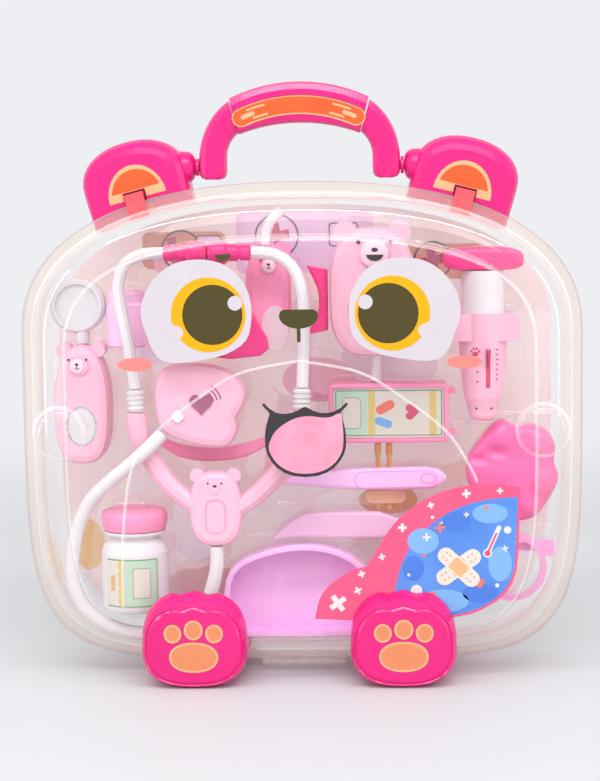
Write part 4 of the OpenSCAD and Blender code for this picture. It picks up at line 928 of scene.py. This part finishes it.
def make_chart_prints():
    x0, x1, z0, z1 = 16.6, 73.9, 123.6, 149.4
    rows = [
        ("edge", 1, "green", round_rect(x0 + 0.9, x1 - 0.9, z0 + 0.9, z1 - 0.9, 0.8)),
        ("field", 2, "cream", round_rect(x0 + 1.5, x1 - 1.5, z0 + 1.5, z1 - 1.5, 0.6)),
        ("mint", 3, "mint", round_rect(x0 + 1.5, x0 + 17.5, z0 + 1.5, z1 - 1.5, 0.6))]
    scallops = []
    for xs, edge in ((x0 + 18.0, 2.6), (x1 - 6.5, 0)):
        scallops.append(round_rect(xs, xs + 2.6, z0 + 1.5, z1 - 1.5, 0.2))
        scallops += [ellipse(xs + edge, z0 + 3.3 + 3.2 * k, 1.1, 1.6, 16) for k in range(7)]
    rows += [(f"scallop_{k}", 4 + 0.05 * (k % 8), "straw", outline) for k, outline in enumerate(scallops)]
    # A plain box, a stack of pills and a heart
    rows += [
        ("box_line", 4, "grey", round_rect(x0 + 4.4, x0 + 14.4, z0 + 4.6, z1 - 4.6, 2.6)),
        ("box", 5, "cream", round_rect(x0 + 4.8, x0 + 14.0, z0 + 5.0, z1 - 5.0, 2.3)),
        ("pill_a", 3, "coral", turned_flat(round_rect(-5.2, 5.2, -2.4, 2.4, 2.3), 43.5, 139.5, 0.5)),
        ("pill_b", 3, "sky_light", turned_flat(round_rect(-4.6, 4.6, -2.1, 2.1, 2.0), 42.5, 131.5, -0.35)),
        ("heart", 3, "rose", heart(57.2, 137, 0.26, math.pi / 2))]
    layers("chart_", rows, "case", "card", CHART_Y)


def make_chest_prints():
    plane = STETH_Y - 4.3
    arcs = [stroke([(-50.5 + r * math.cos(a), 144.3 + r * math.sin(a)) for a in sweep(12, 60, 8)], 0.35)
            for r in (5.8, 7.8, 9.8)]
    layer("chest_arcs", arcs, 1, "dusky", "case", "mid_pink", plane)
    bm = bmesh.new()
    button = turned_flat(round_rect(-2.9, 2.9, -2.9, 2.9, 1.6), -63.2, 137.4, 0.7)
    add_plate(bm, button, plane - 0.9, plane + 0.3)
    finish_piece("chest_button", bm, WHITE, "case", bevel=0.3)


HOSE_R = 3.6
HOSE_ROUTE = [
    (-72.6, -20.2, 127), (-76.5, -23.4, 123.3), (-80.5, -25.6, 119.6), (-85, -25.7, 115.6), (-92, -24, 109.6),
    (-99, -21.8, 104), (-111, -18, 92), (-118.5, -15.6, 75), (-121.2, -14.6, 55), (-118, -14.4, 40),
    (-109, -14.5, 29.8), (-97, -15, 24), (-84, -15, 21.8), (-68, -16.5, 22.4), (-56, -18.6, 27),
    (-50, -20.6, 35), (-48.6, -21, 43.5)]


def make_hose():
    """The soft hose from the chest piece, behind the arm and round the bottle, to the white tube's end."""
    route = spline(HOSE_ROUTE, 6)
    data = bpy.data.curves.new("hose", "CURVE")
    data.dimensions = "3D"
    data.bevel_depth = HOSE_R * MM
    data.bevel_resolution = 6
    data.use_fill_caps = True
    line = data.splines.new("POLY")
    line.points.add(len(route) - 1)
    for point, place in zip(line.points, route):
        point.co = (*(c * MM for c in place), 1)
    line.use_smooth = True
    data.materials.append(WHITE)
    obj = add_object("hose", data)
    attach(obj, "case")
    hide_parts("steth_hose")


TIP_Z = 221.0
# Radius of an ear tip along its length
TIP = [
    (0, 0), (3.6, 0), (4.2, 0.5), (4.2, 4.8), (3.7, 5.3), (3.7, 6.2), (4.4, 6.7), (4.4, 11.5), (5.2, 12.3),
    (6.0, 13.2), (6.0, 18.5), (5.7, 20.4), (4.9, 21.6), (3.4, 22.1), (0, 22.2)]


def make_tips():
    """The two ear tips of the stethoscope, end to end, and a dark ink patch on the right one that paints the
    shade in its opening.
    """
    bm = bmesh.new()
    for x, side in ((-69.2, 1), (-24.8, -1)):
        add_lathe(bm, [(r, side * d) for r, d in TIP], (x, STETH_Y, TIP_Z), axis="x", n=40)
    obj = finish_piece("ear_tips", bm, DEEP, "case", smooth=35)
    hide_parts("steth_tips")
    # The opening is a dark ink patch: painted shade where the tip is hollow.
    half_oval = [(3.9 * math.cos(t), 3.6 * math.sin(t)) for t in sweep(180, 360, 20)]
    opening = turned_flat(half_oval, -38.6, 220.4, 0.05)
    layer("tip_opening_shade", [opening], 1, "dark_olive", "case", "hot_pink", STETH_Y - 6.05)


MASK_EDGE = [
    (86.6, 99), (91.8, 89.5), (100.7, 81.4), (111.1, 77.7), (121.5, 80), (127.6, 87), (131.6, 94),
    (134.2, 101.3), (131.8, 109.4), (132.4, 118), (127.6, 126), (119, 128.6), (112, 127.6),
    (105.4, 131.4), (98.6, 128), (93.4, 121.4), (88.2, 114), (86, 107)]
MASK_MID = (110.0, 104.0)
# Middle, half sizes and height of each rounded form on the mask
MASK_FORMS = [
    (125.5, 119.5, 6.4, 4.6, 2.0), (126.2, 97.8, 6.0, 6.4, 2.3), (118.2, 85.6, 4.6, 3.8, 1.7),
    (104, 122, 6.4, 5, 1.8), (106, 98, 13, 12, 1.5), (92.5, 111, 5, 2.4, -2.0),
    (101.5, 114.6, 6.5, 2.2, -1.8), (126, 119.5, 3.0, 2.0, -0.9)]
# How much the mask is drawn in at each ring of its front
MASK_SHARES = [
    1.0, 0.995, 0.98, 0.95, 0.91, 0.86, 0.8, 0.74, 0.67, 0.6, 0.52, 0.44, 0.36, 0.28, 0.2, 0.12, 0.02]


def mask_front(x, z):
    """Depth of the mask's front."""
    y = -4.0
    for cx, cz, a, b, rise in MASK_FORMS:
        y -= rise * math.exp(-(((x - cx) / a) ** 2 + ((z - cz) / b) ** 2) ** 1.5)
    return max(y, -6.2)


def make_mask():
    """The toy face mask, with rounded forms on its front."""
    edge = spline(MASK_EDGE, 6, closed=True)

    def ring(k, depth=None):
        fall = min(1.0, max(0.0, (k - 0.82) / 0.18))
        out = []
        for x, z in edge:
            u, v = MASK_MID[0] + (x - MASK_MID[0]) * k, MASK_MID[1] + (z - MASK_MID[1]) * k
            y = mask_front(u, v) + 4.2 * (1 - math.sqrt(1 - fall * fall)) if depth is None else depth
            out.append((u, y, v))
        return out

    back = TRAY_Y - FIT
    rings = [ring(0.02, back), ring(0.97, back), ring(1.0, back - 0.8), ring(1.0, 1.5)]
    bm = bmesh.new()
    add_loft(bm, rings + [ring(k) for k in MASK_SHARES])
    obj = finish_piece("toy_mask", bm, ROSE, "case", smooth=60)
    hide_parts("mask")


SYRINGE_X = 94.5
SYRINGE_Y = -5.1
# Radius of the barrel at heights
BARREL = [
    (132.4, 5.0), (135, 7.3), (137.4, 7.5), (140.4, 8.4), (144, 9.7), (150, 10.5), (163, 11.8), (170, 12.5),
    (188, 12.8)]


def on_barrel(x, z, lift=0.05):
    """A point of the syringe barrel's front, x as distance round it."""
    r = lift
    for (za, ra), (zb, rb) in zip(BARREL, BARREL[1:]):
        if za <= z <= zb:
            r += ra + (rb - ra) * (z - za) / (zb - za)
    a = x / r
    return (SYRINGE_X + r * math.sin(a), SYRINGE_Y - r * math.cos(a), z)


def barrel_patch(bm, outline, lift=0.05):
    """Adds a patch that wraps round the barrel."""
    cx = sum(p[0] for p in outline) / len(outline)
    cz = sum(p[1] for p in outline) / len(outline)
    mid = bm.verts.new(on_barrel(cx, cz, lift))
    ring = [bm.verts.new(on_barrel(x, z, lift)) for x, z in outline]
    for i in range(len(ring)):
        bm.faces.new((mid, ring[i], ring[(i + 1) % len(ring)]))


def make_syringe_prints():
    """A scale with drops and a small paw print, and the bear's eyes at the barrel's foot."""
    toes = ((-6.9, 168.8), (-5.6, 170.2), (-3.9, 170.2), (-2.7, 168.8))
    scale = [round_rect(0.8, 3.2, 149.5, 170, 0.6)]
    scale += [round_rect(6.2, 7.8, 153.6 + 2.6 * k, 154.5 + 2.6 * k, 0.35) for k in range(7)]
    scale += [ellipse(-3.6, 153 + 5.2 * k, 0.6, n=12) for k in range(3)]
    scale += [ellipse(-4.8, 167.4, 1.7, 1.3, n=16), *(ellipse(x, z, 0.62, 0.75, n=12) for x, z in toes)]
    eyes = [ellipse(x, 138.8, 0.6, n=12) for x in (-4.0, 4.0)]
    for name, film, outlines in (("syringe_scale", "rose", scale), ("syringe_eyes", "charcoal", eyes)):
        bm = bmesh.new()
        for outline in outlines:
            barrel_patch(bm, outline)
        finish_piece(name, bm, FILM[film], "case", smooth=60)


def make_scalpel_grip():
    """The raised grip of the toy scalpel, with an oval ring at its end."""
    line = [(31.5, 101.2), (66.2, 101.7)]
    layers("scalpel_", [
        ("grip_edge", 1, "orchid_edge", stroke(line, 4.5)),
        ("grip", 2, "orchid", stroke(line, 4.0)),
        ("ring", 3, "orchid_edge", ellipse(65.6, 101.7, 3.9, 2.9)),
        ("ring_middle", 4, "orchid", ellipse(65.6, 101.7, 3.3, 2.3))],
        "case", "lilac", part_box("scalpel")[0].y / MM)


def make_face(name, cx, z, y, size, smile=False):
    """Plain teddy face: a pale muzzle, a nose, a mouth line and two eyes."""
    bm = bmesh.new()
    muzzle = [(size, 0.4), (size, -0.3), (size * 0.85, -0.9), (size * 0.5, -1.25), (0, -1.4)]
    add_lathe(bm, muzzle, (cx, y, z), n=32)
    finish_piece(f"{name}_muzzle", bm, PALE, "case", smooth=60)
    rows = [("nose", 1, "charcoal", ellipse(cx, z + size * 0.28, size * 0.24, size * 0.16, 20))]
    if smile:
        lips = [(cx + size * 0.62 * math.cos(t), z - size * 0.02 + size * 0.5 * math.sin(t))
                for t in sweep(185, 355, 16)]
        rows.append(("smile", 1.5, "charcoal", lips))
    else:
        thin = size * 0.045
        lips = [(-0.3, -0.22), (-0.15, -0.34), (0, -0.22), (0.15, -0.34), (0.3, -0.22)]
        rows += [
            ("lips", 1.5, "charcoal", stroke([(cx + size * u, z + size * v) for u, v in lips], thin)),
            ("lip_line", 2, "charcoal", stroke([(cx, z + size * 0.2), (cx, z - size * 0.2)], thin))]
    layers(name + "_", rows, "case", "mid_pink", y - 1.42)
    bm = bmesh.new()
    eye = [(size * 0.15, 1.2), (size * 0.15, -0.1), (size * 0.1, -0.32), (0, -0.4)]
    for side in (-1, 1):
        add_lathe(bm, eye, (cx + side * size * 1.15, y + 0.6, z + size * 0.85), n=16)
    finish_piece(f"{name}_eyes", bm, FILM["charcoal"], "case", smooth=60)


def make_toy_faces():
    make_face("gauge_bear", 38.6, 219.4, -12.2, 7.2, smile=True)
    make_face("mirror_bear", -116.4, 162.6, -13.2, 4.0)
    make_face("bulb_bear", -16.2, 213.4, -9.2, 3.6)
    layer("bulb_belly", [ellipse(-13.4, 181.4, 6.8, 11.6)], 1, "pale_pink", "case", "mid_pink", -8.0)
    front = STETH_Y - 5.5
    eyes = [ellipse(x, 102.6, 0.55, n=12) for x in (-48.3, -41.2)]
    layer("yoke_eyes", eyes, 1, "charcoal", "case", "mid_pink", front + 0.5)
    layer("yoke_nose", [ellipse(-44.7, 101.2, 1.1, 0.7, n=16)], 1, "charcoal", "case", "mid_pink", front)


def make_toy_mirror():
    """The oval glass on the toy bear, drawn as flat white ink that paints its reflection, with a frilled
    silver edge.
    """
    frill = []
    for t in circle(120):
        k = 1 + 0.035 * math.cos(16 * t)
        frill.append((-115 + 8.2 * k * math.cos(t), 131 + 10.9 * k * math.sin(t)))
    bm = bmesh.new()
    add_plate(bm, frill, -11.5, -11.02)
    finish_piece("toy_mirror_edge", bm, SILVER, "case", bevel=0.15)
    # The glass is flat white ink: a painted reflection of the pale surroundings, not a mirror finish.
    layer("toy_mirror_painted_reflection", [ellipse(-115, 131, 6.9, 9.5, 64)], 1, "white", "case", "white", -11.5)


def make_card_art():
    """Plain blocks and shapes printed on the back card, dim behind the toys."""
    rings = [stroke([(x + r * math.cos(t), z + r * math.sin(t)) for t in circle(40)], 0.5)
             for x, z, r in ((-66, 221, 10.5), (-14, 228, 11.5), (70, 214, 10))]
    boxes = [(-58, -44, 216, 229), (14, 30, 222, 235), (46, 58, 206, 218), (84, 96, 208, 219)]
    places = ((-70, 221), (-14, 228), (70, 214), (0, 120), (100, 90))
    layers("card_", [
        ("bands", 1, "card_brown", round_rect(-87, -42, 211, 231, 4), round_rect(44, 97, 204, 223, 4)),
        ("lilac", 1, "card_lilac", round_rect(-36, 38, 208, 242, 5)),
        ("rose", 2, "card_rose", ellipse(-66, 214, 15, 9), ellipse(8, 150, 20, 12),
         round_rect(-22, 16, 92, 128, 6)),
        ("grey", 1.5, "card_grey", round_rect(-96, -70, 160, 196, 5), round_rect(20, 72, 150, 166, 4),
         ellipse(-60, 70, 15, 20)),
        ("crosses", 3, "card_cross", *(cross_at(x, z, 7, 2.4, 0.2) for x, z in places)),
        ("rings", 3, "card_line", *rings),
        ("boxes", 3, "card_line", *(round_rect(a, b, c, d, 2) for a, b, c, d in boxes)),
        ("box_fills", 4, "card_lilac",
         *(round_rect(a + 0.7, b - 0.7, c + 0.7, d - 0.7, 1.6) for a, b, c, d in boxes)),
        ("tan", 2, "card_tan", ellipse(45, 84, 16, 8), ellipse(-120, 60, 9, 14))],
        "case", "card", CARD_Y)


# Materials of the pieces that keep their solid's form

DRESS = [
    (CLEAR_RIM, "hinge_pin"),
    (CARD_BACK, "back_card"),
    (HOT, "ear_left ear_right handle_pivots handle_legs handle_grip"),
    (HOT, "foot_front_left foot_front_right foot_rear_left foot_rear_right"),
    (DEEP, "syringe_cap cuff_band hammer"),
    (MID, "bottle_cap bulb_bear chart_frame crescent_dish"),
    (SOFT, "steth_yoke chest_piece syringe_barrel gauge_bear mirror_bear"),
    (WHITE, "steth_sleeves steth_headset_left steth_headset_right steth_tube"),
    (WHITE, "syringe_plunger bottle_body gauge_hose"),
    (SHEET_WHITE, "mirror_disc"),
    (LILAC, "torch tweezers"),
    (ORCHID, "scalpel dish"),
    (VIOLET, "glasses_frame glasses_temples"),
    (SALMON_PLASTIC, "latch_catches"),
    (SWAB, "swabs"),
    (PLASTER, "plaster"),
    (FILM["peach"], "ear_labels handle_label paw_labels"),
    (FILM["eye_white"], "eye_label_left eye_label_right"),
    (FILM["dark_olive"], "nose_label"),
    (FILM["charcoal"], "mouth_label"),
    (FILM["salmon"], "cheek_labels"),
    (FILM["band"], "corner_label"),
    (FILM["dusky"], "chest_heart"),
    (FILM["cream"], "bottle_label chart_card")]


def dress_solids():
    for material, names in DRESS:
        for name in names.split():
            mesh = NODES[name].data
            mesh.materials.clear()
            mesh.materials.append(material)
            mesh.shade_smooth()
            mesh.set_sharp_from_angle(angle=math.radians(32))


# The stage

BACKGROUND = rgb(238, 239, 242)
FLOOR = rgb(205, 208, 211)
# Metres from the middle at which the floor starts to fade, and has faded, into the background
FADE = (0.3, 1.1)


def make_floor():
    """A pale floor whose far part fades into the background."""
    bm = bmesh.new()
    bmesh.ops.create_circle(bm, cap_ends=True, radius=6.0, segments=96)
    mesh = bpy.data.meshes.new("floor")
    bm.to_mesh(mesh)
    bm.free()
    floor = add_object("floor", mesh)
    mat, tree, coords = new_material("floor_paper")
    paper = node(tree, "BsdfPrincipled", {
        "Base Color": two_tone(noise(coords, 3), shade(FLOOR, 0.992), FLOOR),
        "Roughness": 0.55, "Specular IOR Level": 0.25})
    glow = node(tree, "Emission", {"Color": (*BACKGROUND, 1)})
    away = node(tree, "VectorMath", {0: coords}, operation="LENGTH")["Value"]
    fade = node(tree, "MapRange", {"From Min": FADE[0], "From Max": FADE[1], "Value": away},
                interpolation_type="SMOOTHSTEP")["Result"]
    mesh.materials.append(finished(mat, mixed(fade, paper["BSDF"], glow["Emission"])))


def make_world():
    """Even soft daylight; the background shows to the camera, and in gloss and clear pieces."""
    world = bpy.data.worlds.new("studio")
    bpy.context.scene.world = world
    tree = empty_tree(world)
    light = node(tree, "Background", {"Color": (1.0, 0.985, 0.985, 1), "Strength": 0.9})["Background"]
    shown = node(tree, "Background", {"Color": (*BACKGROUND, 1), "Strength": 1.0})["Background"]
    path = node(tree, "LightPath")
    seen = path["Is Camera Ray"]
    for way in ("Is Glossy Ray", "Is Transmission Ray"):
        seen = node(tree, "Math", {0: seen, 1: path[way]}, operation="MAXIMUM")["Value"]
    node(tree, "OutputWorld", {"Surface": mixed(seen, light, shown)})


def softbox(name, place, target, width, height, power):
    lamp = bpy.data.lights.new(name, "AREA")
    lamp.shape = "RECTANGLE"
    lamp.size = width
    lamp.size_y = height
    lamp.energy = power
    obj = add_object(name, lamp)
    obj.location = place
    obj.rotation_euler = (Vector(target) - Vector(place)).to_track_quat("-Z", "Y").to_euler()


def make_lights():
    middle = (0, 0, 0.15)
    softbox("key_strip", (0.0, -0.6, 1.0), middle, 1.3, 0.08, 5.2)
    softbox("front_fill", (0.1, -1.5, 1.3), middle, 1.2, 0.8, 7.5)
    softbox("left_strip", (-0.95, -0.6, 0.35), middle, 0.06, 0.9, 2.6)
    softbox("right_strip", (1.0, -0.55, 0.4), middle, 0.06, 0.9, 2.4)


# Where the photographer stood, and the lens
CAMERA_AT = (0.03634, -1.0, 0.24858)
CAMERA_YAW = math.radians(2.1441)
CAMERA_PITCH = math.radians(5.7547)
CAMERA_ROLL = math.radians(-0.7045)
LENS = 88.265


def make_camera():
    data = bpy.data.cameras.new("camera")
    data.lens = LENS
    data.sensor_width = 36
    data.clip_start = 0.05
    cam = add_object("camera", data)
    forward = Vector((-math.sin(CAMERA_YAW) * math.cos(CAMERA_PITCH),
                      math.cos(CAMERA_YAW) * math.cos(CAMERA_PITCH), -math.sin(CAMERA_PITCH)))
    level = Vector((math.cos(CAMERA_YAW), math.sin(CAMERA_YAW), 0))
    rise = level.cross(forward)
    right = math.cos(CAMERA_ROLL) * level + math.sin(CAMERA_ROLL) * rise
    up = -math.sin(CAMERA_ROLL) * level + math.cos(CAMERA_ROLL) * rise
    turn = Matrix((right, up, -forward)).transposed().to_4x4()
    cam.matrix_world = Matrix.Translation(CAMERA_AT) @ turn
    bpy.context.scene.camera = cam


for make in (make_camera, make_front_shell, make_back_shell, make_tray, make_eyes, make_mouth,
        make_corner, make_ear_prints, make_handle_print, make_paw_prints, make_bottle_prints,
        make_chart_prints, make_chest_prints, make_hose, make_tips, make_mask, make_toy_mirror,
        make_card_art, make_syringe_prints, make_scalpel_grip, make_toy_faces, dress_solids, make_floor,
        make_world, make_lights):
    make()
bpy.context.scene.view_settings.view_transform = "Standard"
bpy.context.scene.cycles.transparent_max_bounces = 32
